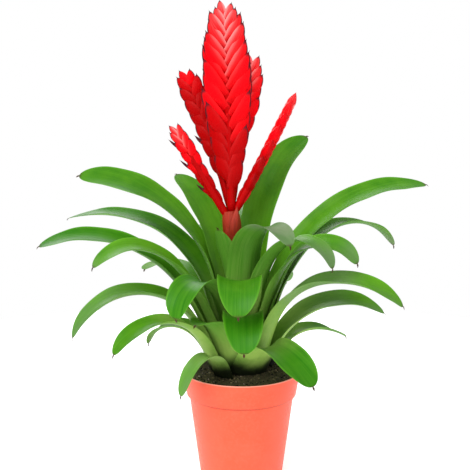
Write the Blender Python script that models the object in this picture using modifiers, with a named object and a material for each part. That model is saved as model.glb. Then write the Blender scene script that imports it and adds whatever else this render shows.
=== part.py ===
"""Potted vriesea: a plastic nursery pot with compost, a rosette of strap leaves, and a
branched flower of five flattened spikes of boat-shaped bracts. Metres, +Z up, the pot's
foot centred on the origin and the plant's face towards -Y."""
import math

import bmesh
import bpy
import numpy as np
from mathutils import Vector, noise

PLANT = "potted_vriesea"

# pot
POT_HEIGHT = 0.128
RIM_RADIUS = 0.069
RIM_SKIRT_RADIUS = 0.0643
RIM_SKIRT_Z = 0.0995
WALL_TOP_RADIUS = 0.0614
FOOT_RADIUS = 0.0482
FOOT_ROUND = 0.0015
WALL = 0.0017
FLOOR = 0.0022
POT_SEGMENTS = 40
DRAIN_HOLES = 6
DRAIN_RADIUS = 0.004
DRAIN_CIRCLE = 0.032
DRAIN_SEGMENTS = 12

# compost
SEAT_GAP = 0.0003
SOIL_LEVEL = 0.1235
SOIL_LUMP = 0.0016
LUMPS_PER_METRE = 140.0
LUMPY_FROM = 0.0445
LUMPY_TO = 0.058
HOLE_FLOOR = 0.0947
SOIL_UNDER_FEET = 0.0005
SOIL_SEGMENTS = 28

# rosette
STOCK_RADIUS = 0.0078
LEAF_FOOT_Z = 0.121
FOOT_DROP = 0.00015
FOOT_TRIM = 0.012
FIRST_LAYER_RADIUS = 0.00875
LAYER_STEP = 0.00088
SHEATH_HALF_ANGLE = 49.0
STEEPEST = 88.0
LAYER_LEAN = 0.7
LEAF_THICKNESS = 0.0009
TIP_HALF_WIDTH = 0.0006
LONG_LEAF_MM = 200
LONG_LEAF_ROWS = 13
SHORT_LEAF_ROWS = 10
LEAF_COLUMNS = 4

# azimuth, layer, length mm, slopes at 0.3, 0.65 and 1 of the length, sway, width mm,
# twist at half length and at the tip, cup
LEAVES = [
    (224, 1, 180, (86, 80, 66), 0, 38, (0, 0), 1.2),
    (56, 2, 310, (83, 70, 22), -18, 44, (-12, -25), 0.8),
    (278, 3, 246, (83, 65, -58), 34, 46, (0, 0), 0.8),
    (128, 4, 268, (79, 60, 22), 5, 42, (5, 10), 0.8),
    (326, 5, 246, (82, 46, -74), 0, 40, (0, 0), 0.8),
    (167, 6, 330, (76, 41, -3), 8, 47, (0, 40), 0.8),
    (268, 7, 213, (81, 26, -78), 0, 51, (0, 0), 0.8),
    (344, 9, 240, (76, 46, -62), 0, 38, (0, -30), 0.8),
    (233, 9, 210, (79, 24, -88), 0, 46, (0, 0), 0.8),
    (14, 11, 343, (70, 33, -6), 0, 42, (-12, -22), 1.0),
    (150, 11, 336, (66, 17, -16), 5, 40, (5, 8), 1.0),
    (90, 13, 290, (69, 30, -10), 0, 40, (0, 0), 1.0),
    (271, 13, 168, (77, 6, -78), 0, 46, (0, 0), 0.8),
    (20, 15, 298, (71, 27, -56), 0, 40, (-5, 5), 1.0),
    (199, 15, 256, (68, 37, -50), 0, 40, (10, 15), 1.0),
    (108, 17, 290, (60, 20, -20), 0, 40, (0, 0), 1.0),
    (334, 17, 246, (66, 7, -44), 26, 44, (0, -20), 1.0),
    (180, 19, 302, (62, 23, -24), 0, 42, (8, 20), 1.0),
    (72, 19, 230, (52, 4, -36), 0, 40, (0, 0), 1.0),
    (240, 21, 124, (70, 42, -10), 0, 38, (0, 0), 0.8),
    (128, 21, 240, (54, 12, -28), 0, 40, (0, 0), 1.0),
    (6, 21, 192, (54, 10, -34), 0, 40, (-15, -15), 1.0),
    (195, 23, 246, (58, -3, -66), 0, 42, (5, 8), 1.0),
    (88, 23, 200, (40, -10, -50), 0, 38, (0, 0), 1.0),
    (290, 23, 156, (46, -13, -44), 25, 44, (-5, -10), 0.8),
    (156, 25, 132, (51, -4, -68), 0, 34, (5, 5), 1.0),
    (28, 25, 140, (38, -4, -30), 0, 34, (0, 0), 1.0),
    (214, 27, 186, (56, 1, -52), 0, 34, (5, 5), 1.0),
    (118, 29, 60, (40, 10, -30), 0, 28, (0, 0), 1.0),
    (238, 31, 112, (54, -34, -72), -24, 24, (0, 0), 1.0),
]

# scape
SCAPE_PROFILE = [
    (0.095, 0.0070),
    (0.112, 0.0078),
    (0.130, 0.0076),
    (0.180, 0.0064),
    (0.250, 0.0070),
    (0.285, 0.0094),
    (0.303, 0.0098),
    (0.316, 0.0080),
]
SCAPE_LEAN = -0.0125
SCAPE_FORWARD = -0.02
SCAPE_STRAIGHT_TO = 0.125
SCAPE_SEGMENTS = 12
CORE_GAP = 0.0003
HEAD_CORE = 0.0050
FOOT_CORE = 0.0028
CORE_SIDES = 6

# shares of a spike's rows of bracts at which SPIKES gives their reach
REACH_STATIONS = (0.0, 0.15, 0.35, 0.60, 0.85, 1.0)

# name, foot mm, head mm, sideways bow mm, azimuth the flat face looks to, bracts a side,
# share of the axis where they begin, reach mm of the bract tips at the stations, rise mm of
# the tips over their foot low down, half way and at the top, half breadth mm, half thickness mm
SPIKES = [
    ("spike_main", (-11.6, -3.5, 316.3), (-19.5, -7.0, 540.0), 0.0, 270, 12, 0.12,
     (13, 25, 33, 28, 19, 6), (38, 40, 18), 8.0, 5.4),
    ("spike_left", (-12.5, 1.0, 312.0), (-62.5, 24.0, 464.0), 5.0, 262, 8, 0.24,
     (4, 9, 13, 15, 14, 5), (30, 31, 20), 6.5, 4.3),
    ("spike_right", (-11.0, 1.0, 316.0), (10.0, 24.0, 480.0), -2.0, 280, 8, 0.32,
     (4, 9, 19, 20, 14, 5), (32, 32, 20), 6.5, 4.3),
    ("spike_low", (-12.6, -3.8, 303.0), (-72.0, -15.0, 405.0), 0.0, 262, 7, 0.20,
     (4, 6, 8, 10, 9, 5), (26, 24, 17), 4.6, 3.6),
    ("spike_edge", (-12.0, -3.8, 307.0), (56.0, 6.0, 438.0), 1.0, 355, 7, 0.16,
     (5, 7, 9, 9, 7, 3), (26, 26, 18), 4.8, 6.4),
]

# bracts that stand off their spike: share of the axis, side, reach mm, rise mm
LOOSE_BRACTS = {
    "spike_left": [(0.50, -1, 19, 18)],
    "spike_low": [(0.80, -1, 14, 24), (0.57, -1, 17, 25), (0.30, -1, 14, 21)],
}
LOOSE_SHARE = 0.36

# share of a bract's length, its breadth and thickness there, and how far it has bent out
BRACT_STATIONS = (
    (0.00, 0.60, 0.80, 1.25),
    (0.36, 1.00, 1.00, 1.12),
    (0.74, 0.80, 0.64, 0.76),
    (1.00, 0.07, 0.10, 0.52),
)

# base colour and roughness of each finish
FINISHES = {
    "pot": ((0.87, 0.20, 0.10), 0.42),
    "soil": ((0.03, 0.02, 0.015), 0.95),
    "scape": ((0.35, 0.05, 0.04), 0.45),
    "spike": ((0.85, 0.01, 0.015), 0.38),
    "leaf": ((0.06, 0.22, 0.02), 0.40),
}
SHARP_ANGLE = math.radians(40.0)


def clear_scene():
    for item in list(bpy.data.objects):
        bpy.data.objects.remove(item, do_unlink=True)


def smooth(value):
    value = np.clip(value, 0.0, 1.0)
    return value * value * (3.0 - 2.0 * value)


def group(name):
    """The collection of that name, made when it is first asked for."""
    found = bpy.data.collections.get(name)
    if found is None:
        found = bpy.data.collections.new(name)
        bpy.context.scene.collection.children.link(found)
    return found


def place(name, mesh, into="cutters"):
    body = bpy.data.objects.new(name, mesh)
    group(into).objects.link(body)
    return body


def finish(body, holder):
    """Material, shading and place in the plant's own collection for a finished piece."""
    kind = body.name.split("_")[0]
    colour, roughness = FINISHES[kind]
    material = bpy.data.materials.get(kind) or bpy.data.materials.new(kind)
    material.use_nodes = True
    shader = material.node_tree.nodes["Principled BSDF"]
    shader.inputs["Base Color"].default_value = (*colour, 1.0)
    shader.inputs["Roughness"].default_value = roughness
    shader.inputs["Metallic"].default_value = 0.0
    body.data.materials.clear()
    body.data.materials.append(material)
    body.data.shade_smooth()
    body.data.set_sharp_from_angle(angle=SHARP_ANGLE)
    group("cutters").objects.unlink(body)
    group(PLANT).objects.link(body)
    body.parent = holder


def finished_mesh(body):
    """The body's shape with its modifiers worked out, as a mesh of its own."""
    bpy.context.view_layer.update()
    graph = bpy.context.evaluated_depsgraph_get()
    return bpy.data.meshes.new_from_object(body.evaluated_get(graph))


def turned(name, profile, segments):
    """A line of (radius, height) corners, from axis to axis, turned once round +Z."""
    mesh = bpy.data.meshes.new(name)
    shape = bmesh.new()
    corners = [shape.verts.new((radius, 0.0, height)) for radius, height in profile]
    for first, second in zip(corners, corners[1:]):
        shape.edges.new((first, second))
    bmesh.ops.spin(
        shape,
        geom=shape.verts[:] + shape.edges[:],
        cent=(0.0, 0.0, 0.0),
        axis=(0.0, 0.0, 1.0),
        angle=math.tau,
        steps=segments,
        use_merge=True,
    )
    bmesh.ops.remove_doubles(shape, verts=shape.verts[:], dist=0.00001)
    bmesh.ops.recalc_face_normals(shape, faces=shape.faces[:])
    shape.to_mesh(mesh)
    shape.free()
    return place(name, mesh)


def loft(name, rings):
    """A closed body over rings of points, each end closed by a flat or pointed cap."""
    mesh = bpy.data.meshes.new(name)
    shape = bmesh.new()
    rows = [[shape.verts.new(point) for point in ring] for ring in rings]
    count = len(rows[0])
    for low, high in zip(rows, rows[1:]):
        for k in range(count):
            after = (k + 1) % count
            shape.faces.new((low[k], low[after], high[after], high[k]))
    shape.faces.new(rows[0][::-1])
    shape.faces.new(rows[-1])
    bmesh.ops.triangulate(shape, faces=shape.faces[:])
    bmesh.ops.recalc_face_normals(shape, faces=shape.faces[:])
    shape.to_mesh(mesh)
    shape.free()
    return place(name, mesh)


def fuse(name, bodies, cutter=None):
    """One solid from overlapping bodies, less the cutter."""
    first, rest = bodies[0], bodies[1:]
    joined = group(name + "_parts")
    for body in rest:
        joined.objects.link(body)
    union = first.modifiers.new("union", "BOOLEAN")
    union.operation = "UNION"
    union.solver = "EXACT"
    union.operand_type = "COLLECTION"
    union.collection = joined
    if cutter is not None:
        cut = first.modifiers.new("seat", "BOOLEAN")
        cut.operation = "DIFFERENCE"
        cut.solver = "EXACT"
        cut.object = cutter
    mesh = finished_mesh(first)
    mesh.name = name
    for body in bodies:
        bpy.data.objects.remove(body, do_unlink=True)
    bpy.data.collections.remove(joined)
    shape = bmesh.new()
    shape.from_mesh(mesh)
    bmesh.ops.remove_doubles(shape, verts=shape.verts[:], dist=0.000002)
    bmesh.ops.triangulate(shape, faces=shape.faces[:])
    shape.to_mesh(mesh)
    shape.free()
    return place(name, mesh)


def build_pot():
    """Tapered pot with a flared rim band, an even wall and holes through its floor."""
    inner_top = RIM_RADIUS - WALL
    profile = [
        (0.0, 0.0),
        (FOOT_RADIUS - FOOT_ROUND, 0.0),
        (FOOT_RADIUS, FOOT_ROUND),
        (WALL_TOP_RADIUS, RIM_SKIRT_Z),
        (RIM_SKIRT_RADIUS - 0.0004, RIM_SKIRT_Z),
        (RIM_SKIRT_RADIUS, RIM_SKIRT_Z + 0.0005),
        (RIM_RADIUS, POT_HEIGHT - 0.0012),
        (RIM_RADIUS - 0.0004, POT_HEIGHT - 0.0003),
        (RIM_RADIUS - 0.0009, POT_HEIGHT),
        (inner_top, POT_HEIGHT - 0.0006),
        (RIM_SKIRT_RADIUS - WALL, RIM_SKIRT_Z + 0.0025),
        (WALL_TOP_RADIUS - WALL, RIM_SKIRT_Z - 0.001),
        (FOOT_RADIUS - WALL + 0.0003, FLOOR),
        (0.0, FLOOR),
    ]
    pot = turned("pot", profile, POT_SEGMENTS)
    holes = bmesh.new()
    for k in range(DRAIN_HOLES):
        turn = math.tau * (k + 0.5) / DRAIN_HOLES
        made = bmesh.ops.create_cone(
            holes,
            cap_ends=True,
            segments=DRAIN_SEGMENTS,
            radius1=DRAIN_RADIUS,
            radius2=DRAIN_RADIUS,
            depth=0.01,
        )
        shift = Vector((DRAIN_CIRCLE * math.cos(turn), DRAIN_CIRCLE * math.sin(turn), 0.001))
        bmesh.ops.translate(holes, verts=made["verts"], vec=shift)
    cutter_mesh = bpy.data.meshes.new("drain_cutter")
    holes.to_mesh(cutter_mesh)
    holes.free()
    cutter = place("drain_cutter", cutter_mesh)
    cut = pot.modifiers.new("drain", "BOOLEAN")
    cut.operation = "DIFFERENCE"
    cut.solver = "EXACT"
    cut.object = cutter
    pot.data = finished_mesh(pot)
    pot.modifiers.clear()
    bpy.data.objects.remove(cutter, do_unlink=True)
    return pot


def leaf_feet():
    """Radius and height of the compost under each leaf's foot, from the middle outwards."""
    feet = []
    for spec in LEAVES:
        x, y, z = leaf_points(spec, 4, 2)[0, 1]
        feet.append((math.hypot(x, y), z - SOIL_UNDER_FEET))
    radii, heights = zip(*sorted(feet))
    return radii, np.minimum.accumulate(heights)


def build_soil():
    """Compost filling the pot, lumpy on top, with a plain hole for the stock."""
    inner = WALL_TOP_RADIUS - WALL
    hole = STOCK_RADIUS + SEAT_GAP
    top_outer = RIM_RADIUS - WALL - 0.0018
    feet_at, feet_height = leaf_feet()
    mound = [
        (radius, float(np.interp(radius, feet_at, feet_height)))
        for radius in (hole, 0.016, 0.024, 0.032, feet_at[-1], feet_at[-1] + 0.001)
    ]
    profile = [
        (0.0, HOLE_FLOOR),
        (hole, HOLE_FLOOR),
        *mound,
        (0.0455, SOIL_LEVEL + 0.001),
        (0.0510, SOIL_LEVEL),
        (0.0565, SOIL_LEVEL),
        (top_outer, SOIL_LEVEL - 0.0005),
        (RIM_SKIRT_RADIUS - WALL - SEAT_GAP - 0.0001, RIM_SKIRT_Z + 0.0030),
        (inner - SEAT_GAP - 0.0001, RIM_SKIRT_Z - 0.0006),
        (FOOT_RADIUS - WALL - SEAT_GAP, FLOOR + SEAT_GAP),
        (0.0, FLOOR + SEAT_GAP),
    ]
    soil = turned("soil", profile, SOIL_SEGMENTS)
    for vert in soil.data.vertices:
        radius = math.hypot(vert.co.x, vert.co.y)
        if LUMPY_FROM < radius < LUMPY_TO and vert.co.z > 0.110:
            spot = Vector((vert.co.x, vert.co.y, 0.0)) * LUMPS_PER_METRE
            vert.co.z += SOIL_LUMP * noise.noise(spot)
    shape = bmesh.new()
    shape.from_mesh(soil.data)
    bmesh.ops.triangulate(shape, faces=shape.faces[:])
    shape.to_mesh(soil.data)
    shape.free()
    return soil


def slope_along(share, slopes):
    """Slope of the midrib in degrees, a smooth curve through its four stations."""
    stations = (0.0, 0.3, 0.65, 1.0)
    rates = [(slopes[k + 1] - slopes[k]) / (stations[k + 1] - stations[k]) for k in range(3)]
    bends = (rates[0], (rates[0] + rates[1]) / 2, (rates[1] + rates[2]) / 2, rates[2])
    out = np.zeros_like(share)
    for k in range(3):
        reach = stations[k + 1] - stations[k]
        inside = (share >= stations[k] - 1e-9) & (share <= stations[k + 1] + 1e-9)
        t = (share[inside] - stations[k]) / reach
        start = (2 * t**3 - 3 * t**2 + 1) * slopes[k]
        start = start + (t**3 - 2 * t**2 + t) * reach * bends[k]
        finish = (3 * t**2 - 2 * t**3) * slopes[k + 1]
        finish = finish + (t**3 - t**2) * reach * bends[k + 1]
        out[inside] = start + finish
    return out


def blade_outline(share):
    """Share of the full breadth along the blade: a strap with a blunt, rounded tip."""
    t = np.clip((share - 0.74) / 0.26, 0.0, 1.0)
    return np.sqrt(np.clip(1.0 - t**2.8, 0.0, 1.0)) * (1.0 - 0.16 * t)


def leaf_points(spec, rows, columns):
    """Points of a leaf's middle surface, rows along it and columns across."""
    azimuth, layer, length, slopes, sway, width, twist, cup = spec
    length = length / 1000.0
    width = width / 1000.0
    fine = 400
    share = np.linspace(0.0, 1.0, fine + 1)
    slope = np.radians(slope_along(share, (STEEPEST - LAYER_LEAN * layer,) + slopes))
    heading = np.radians(azimuth + sway * smooth((share - 0.1) / 0.9))
    level = np.cos(slope)
    along = np.stack([level * np.cos(heading), level * np.sin(heading), np.sin(slope)], -1)
    foot_radius = FIRST_LAYER_RADIUS + LAYER_STEP * (layer - 1)
    start = np.array([
        foot_radius * math.cos(math.radians(azimuth)),
        foot_radius * math.sin(math.radians(azimuth)),
        LEAF_FOOT_Z - FOOT_DROP * layer,
    ])
    steps = (along[1:] + along[:-1]) / 2 * length / fine
    path = start + np.vstack([np.zeros(3), np.cumsum(steps, 0)])
    even = np.linspace(0.0, 1.0, rows + 1)
    trim = FOOT_TRIM / length
    pick = np.round(fine * (1.0 - (1.0 - trim) * (1.0 - even) ** 1.15)).astype(int)
    share = share[pick]
    slope = slope[pick]
    heading = heading[pick]
    along = along[pick]
    path = path[pick]
    side = np.stack([-np.sin(heading), np.cos(heading), np.zeros_like(heading)], -1)
    upper = np.cross(along, side)
    turn = np.interp(share, [0.0, 0.15, 0.5, 1.0], [0.0, 0.0, twist[0], twist[1]])
    turn = np.radians(turn)[:, None]
    across = side * np.cos(turn) - upper * np.sin(turn)
    facing = upper * np.cos(turn) + side * np.sin(turn)
    radius = np.maximum(np.hypot(path[:, 0], path[:, 1]), 0.004)
    travelled = share * length
    half = width / 2 * blade_outline(share)
    flare = width / 2 * (1.0 + 0.12 * (1.0 - smooth(travelled / 0.08)))
    wrap = math.radians(SHEATH_HALF_ANGLE) * radius / np.maximum(np.sin(slope), 0.5)
    near = np.minimum(np.maximum(half, flare * blade_outline(share)), wrap)
    half = np.where(travelled < 0.10, near, half)
    release = smooth(travelled / 0.10)
    half = np.minimum(half, wrap * (1.0 - release) + release)
    half = np.maximum(half, TIP_HALF_WIDTH)
    hug = np.maximum(np.sin(slope), 0.2) / radius
    gutter = cup / (0.60 * width) * (1.0 - 0.45 * smooth((share - 0.4) / 0.6))
    blend = smooth((travelled - 0.01) / 0.06)
    curve = hug * (1.0 - blend) + np.maximum(gutter, np.sin(slope) / radius) * blend
    place_across = np.linspace(-1.0, 1.0, columns + 1)
    angle = (half * curve)[:, None] * place_across[None, :]
    sideways = (np.sin(angle) / curve[:, None])[..., None]
    lift = ((1.0 - np.cos(angle)) / curve[:, None])[..., None]
    return path[:, None, :] + across[:, None, :] * sideways + facing[:, None, :] * lift


def build_leaf(name, spec):
    """A closed blade of even thickness over the leaf's middle surface."""
    rows = LONG_LEAF_ROWS if spec[2] > LONG_LEAF_MM else SHORT_LEAF_ROWS
    columns = LEAF_COLUMNS
    points = leaf_points(spec, rows, columns)
    mesh = bpy.data.meshes.new(name)
    shape = bmesh.new()
    bmesh.ops.create_grid(shape, x_segments=rows, y_segments=columns, size=0.5)
    for vert in shape.verts:
        row = round((vert.co.x + 0.5) * rows)
        column = round((vert.co.y + 0.5) * columns)
        vert.co = points[row, column]
    bmesh.ops.triangulate(shape, faces=shape.faces[:])
    shape.to_mesh(mesh)
    shape.free()
    leaf = place(name, mesh)
    sheet = leaf.modifiers.new("blade", "SOLIDIFY")
    sheet.thickness = LEAF_THICKNESS
    sheet.offset = 0.0
    leaf.data = finished_mesh(leaf)
    leaf.modifiers.clear()
    return leaf


def scape_lean(height):
    """How far the scape has leaned to the left at a height."""
    rise = max(0.0, (height - SCAPE_STRAIGHT_TO) / 0.175)
    return SCAPE_LEAN * min(rise, 1.3) ** 1.3


def scape_rings(swell):
    """Rings of points round the scape, from its foot up, grown outward by swell."""
    rings = []
    for height, radius in SCAPE_PROFILE:
        ring = []
        for k in range(SCAPE_SEGMENTS):
            turn = math.tau * k / SCAPE_SEGMENTS
            x = scape_lean(height) + (radius + swell) * math.cos(turn)
            forward = SCAPE_FORWARD * max(0.0, height - SCAPE_STRAIGHT_TO)
            y = forward + (radius + swell) * math.sin(turn)
            ring.append((x, y, height))
        rings.append(ring)
    return rings


def spike_axis(foot, head, bow, share):
    """Point on a spike's gently bowed axis, in metres."""
    foot = Vector(foot) / 1000.0
    head = Vector(head) / 1000.0
    chord = head - foot
    sideways = Vector((chord.z, 0.0, -chord.x)).normalized()
    return foot + chord * share + sideways * (bow / 1000.0 * 4.0 * share * (1.0 - share))


def spike_frame(spec, share):
    """Place, direction, fan direction and flat-face direction at a share of the axis."""
    _, foot, head, bow, look = spec[:5]
    here = spike_axis(foot, head, bow, share)
    ahead = spike_axis(foot, head, bow, share + 0.01)
    along = (ahead - here).normalized()
    look_turn = math.radians(look)
    face = Vector((math.cos(look_turn), math.sin(look_turn), 0.0))
    face = (face - along * face.dot(along)).normalized()
    fan = along.cross(face).normalized()
    return here, along, fan, face


def core_body(spec, swell, foot_radius):
    """The spike's own stem, which its bracts grow from."""
    rings = []
    stations = (0.0, 0.12, 0.35, 0.7, 1.0)
    radii = (foot_radius, 0.0046, 0.0042, 0.0034, 0.0014)
    for share, radius in zip(stations, radii):
        here, _, fan, face = spike_frame(spec, share)
        ring = []
        for k in range(CORE_SIDES):
            turn = math.tau * k / CORE_SIDES
            offset = fan * math.cos(turn) + face * math.sin(turn)
            ring.append(here + offset * (radius + swell))
        rings.append(ring)
    return loft("core", rings)


def bract_body(here, along, fan, face, reach, rise, half_breadth, half_thickness):
    """One boat-shaped bract: keel outward, open margin towards the axis."""
    length = math.hypot(reach, rise)
    lean = math.atan2(reach, rise)
    spot = here - along * 0.002
    previous = 0.0
    rings = []
    for station, wide, thick, turn in BRACT_STATIONS:
        bend = lean * turn
        direction = along * math.cos(bend) + fan * math.sin(bend)
        spot = spot + direction * (length * (station - previous))
        previous = station
        outward = fan * math.cos(bend) - along * math.sin(bend)
        keel = spot + outward * (half_breadth * wide)
        margin = spot - outward * (half_breadth * wide)
        belly = spot - outward * (half_breadth * wide * 0.45)
        open_half = face * (half_thickness * thick)
        rings.append([keel, belly + open_half, margin, belly - open_half])
    return loft("bract", rings)


def build_spike(spec, cutter=None):
    """Stem and two rows of bracts in one solid, cut clear of what its foot stands on."""
    name, _, _, _, _, count, begin, reaches, rises, breadth, thickness = spec
    bodies = [core_body(spec, 0.0, HEAD_CORE if cutter is None else FOOT_CORE)]
    for k in range(count):
        for side in (1, -1):
            order = (k + (0.5 if side < 0 else 0.0)) / (count - 0.5)
            share = begin + (0.97 - begin) * (1.0 - (1.0 - order) ** 1.2)
            reach = float(np.interp(order, REACH_STATIONS, reaches)) / 1000.0
            rise = float(np.interp(order, (0.0, 0.5, 1.0), rises)) / 1000.0
            size = math.hypot(reach, rise) / (max(rises) / 1000.0)
            wide = breadth / 1000.0 * min(1.0, 0.25 + 0.75 * size)
            thick = thickness / 1000.0 * min(1.0, 0.35 + 0.65 * size)
            here, along, fan, face = spike_frame(spec, share)
            bodies.append(bract_body(here, along, fan * side, face, reach, rise, wide, thick))
    for share, side, reach, rise in LOOSE_BRACTS.get(name, ()):
        here, along, fan, face = spike_frame(spec, share)
        reach = reach / 1000.0
        rise = rise / 1000.0
        wide = breadth / 1000.0 * LOOSE_SHARE
        thick = thickness / 1000.0 * LOOSE_SHARE
        bodies.append(bract_body(here, along, fan * side, face, reach, rise, wide, thick))
    return fuse(name, bodies, cutter)


def main():
    clear_scene()
    pieces = [build_pot(), build_soil(), loft("scape", scape_rings(0.0))]
    for number, spec in enumerate(LEAVES, 1):
        pieces.append(build_leaf("leaf_%02d" % number, spec))
    pieces.append(build_spike(SPIKES[0]))
    for number, spec in enumerate(SPIKES[1:], 1):
        seat = [loft("seat_scape", scape_rings(CORE_GAP))]
        for k, earlier in enumerate(SPIKES[:number]):
            seat.append(core_body(earlier, CORE_GAP, FOOT_CORE if k else HEAD_CORE))
        cutter = fuse("seat", seat)
        pieces.append(build_spike(spec, cutter))
        bpy.data.objects.remove(cutter, do_unlink=True)
    holder = bpy.data.objects.new(PLANT, None)
    group(PLANT).objects.link(holder)
    for piece in pieces:
        finish(piece, holder)


main()
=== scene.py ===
"""The looks of the potted vriesea: a moulded nursery pot with bark compost, a rosette of glossy
strap leaves with fine veins and curled points, and a flower of five flattened spikes of keeled
bracts. Every piece keeps the form and place of the CAD node that it stands for. Metres, +Z up,
the plant's face towards -Y."""
import math

import bmesh
import bpy
import numpy as np
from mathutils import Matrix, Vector, noise


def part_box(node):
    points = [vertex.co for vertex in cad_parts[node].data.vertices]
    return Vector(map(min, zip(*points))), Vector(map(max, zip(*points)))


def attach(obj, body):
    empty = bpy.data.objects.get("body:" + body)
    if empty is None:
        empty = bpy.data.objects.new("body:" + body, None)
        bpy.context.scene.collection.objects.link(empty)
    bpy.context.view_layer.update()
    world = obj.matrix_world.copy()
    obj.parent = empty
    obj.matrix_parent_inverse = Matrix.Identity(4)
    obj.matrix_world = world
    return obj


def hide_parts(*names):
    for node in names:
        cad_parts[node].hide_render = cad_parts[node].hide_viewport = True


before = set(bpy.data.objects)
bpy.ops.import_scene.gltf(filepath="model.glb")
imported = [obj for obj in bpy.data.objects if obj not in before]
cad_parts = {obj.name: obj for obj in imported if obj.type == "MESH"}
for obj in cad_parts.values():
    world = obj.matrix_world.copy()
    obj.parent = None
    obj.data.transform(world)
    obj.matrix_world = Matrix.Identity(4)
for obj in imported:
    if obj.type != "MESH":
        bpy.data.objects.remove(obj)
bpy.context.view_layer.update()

bl_info = {
    "name": "Potted vriesea",
    "version": (1, 0, 0),
    "blender": (4, 5, 0),
    "location": "3D View > Sidebar > Vriesea",
    "description": "Dresses the potted vriesea's frame with its finished pieces",
    "category": "Object",
}

BODY = "root"
POT_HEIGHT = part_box("pot")[1].z
RIM_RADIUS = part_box("pot")[1].x

# pot, in metres, measured from the frame's rim and its top
RIM_SKIRT_RADIUS = RIM_RADIUS - 0.0047
RIM_SKIRT_Z = POT_HEIGHT - 0.0285
WALL_TOP_RADIUS = RIM_RADIUS - 0.0076
FOOT_RADIUS = RIM_RADIUS - 0.0208
WALL = 0.0017
FLOOR = 0.0022
FOOT_RECESS = 0.0009
FOOT_RING = 0.0048
SHARP_ANGLE = 38.0
DRAIN_HOLES = 6
DRAIN_RADIUS = 0.004
DRAIN_CIRCLE = 0.032
# corners of a turned shape that lie closer than this become one
MERGE_DISTANCE = 0.00001

# compost, in metres
SEAT_GAP = 0.0003
SOIL_LEVEL = 0.1235
HOLE_FLOOR = 0.0947
SOIL_UNDER_FEET = 0.0005
STOCK_RADIUS = 0.0078
SOIL_TOP_RADIUS = RIM_RADIUS - WALL - 0.0009
# radii between which the mound runs out into the level
MOUND_ENDS = (0.0455, 0.0510)
# how close the large, the small and the finest lumps lie
LUMPS_A_METRE = (140.0, 420.0, 900.0)

# crumbs: smallest and largest share of the size on each axis, and the seeds of their draws
FLATTEST_CRUMB = (0.30, 0.22, 0.10)
ROUNDEST_CRUMB = (1.0, 0.62, 0.42)
CRUMB_SEED = 3
SIZE_SEED = 11
TONE_SEED = 23

# rosette, in metres and degrees
LEAF_FOOT_Z = 0.121
FOOT_DROP = 0.00015
FOOT_TRIM = 0.012
FIRST_LAYER_RADIUS = 0.00875
LAYER_STEP = 0.00088
SHEATH_HALF_ANGLE = 49.0
STEEPEST = 88.0
LAYER_LEAN = 0.7
SHEATH_LENGTH = 0.10
LEAST_RADIUS = 0.004
TIP_FROM = 0.74
TIP_HALF_WIDTH = 0.0006
POINT_LENGTH = 0.0048
POINT_HALF_WIDTH = 0.0013
POINT_ROWS = 8
POINT_CURL = 50.0
LEAF_SEED = 100
# how far the map of each leaf lies from the one before, so that no two are alike
MAP_STEP = 0.37

# leaves with paler grey green parts, partly dust and partly a painted sheen: leaf number, shares
# where that begins and ends, how strong
DUST_AND_SHEEN_PARTS = {
    3: (0.74, 2.0, 1.0), 5: (0.80, 2.0, 0.55), 8: (0.84, 2.0, 0.45), 14: (0.88, 2.0, 0.70),
    15: (0.92, 2.0, 0.60), 17: (0.36, 0.82, 0.55), 22: (0.30, 0.85, 0.35), 23: (0.55, 2.0, 0.30),
    30: (0.30, 2.0, 0.35),
}

# how far each leaf that shows in the photo is from deep to fresh green: partly each leaf's own
# green, partly painted light and shade, lighter where a leaf lies in shade and darker where it
# would shine
LEAF_TONES = {
    2: 0.22, 3: -0.45, 6: 0.20, 7: -0.10, 9: -0.20, 10: 0.25, 11: 0.0, 13: -0.55, 15: 0.35,
    17: 0.50, 18: -0.10, 20: 0.30, 22: 0.45, 23: 0.20, 25: -0.35, 30: 0.15,
}

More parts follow.
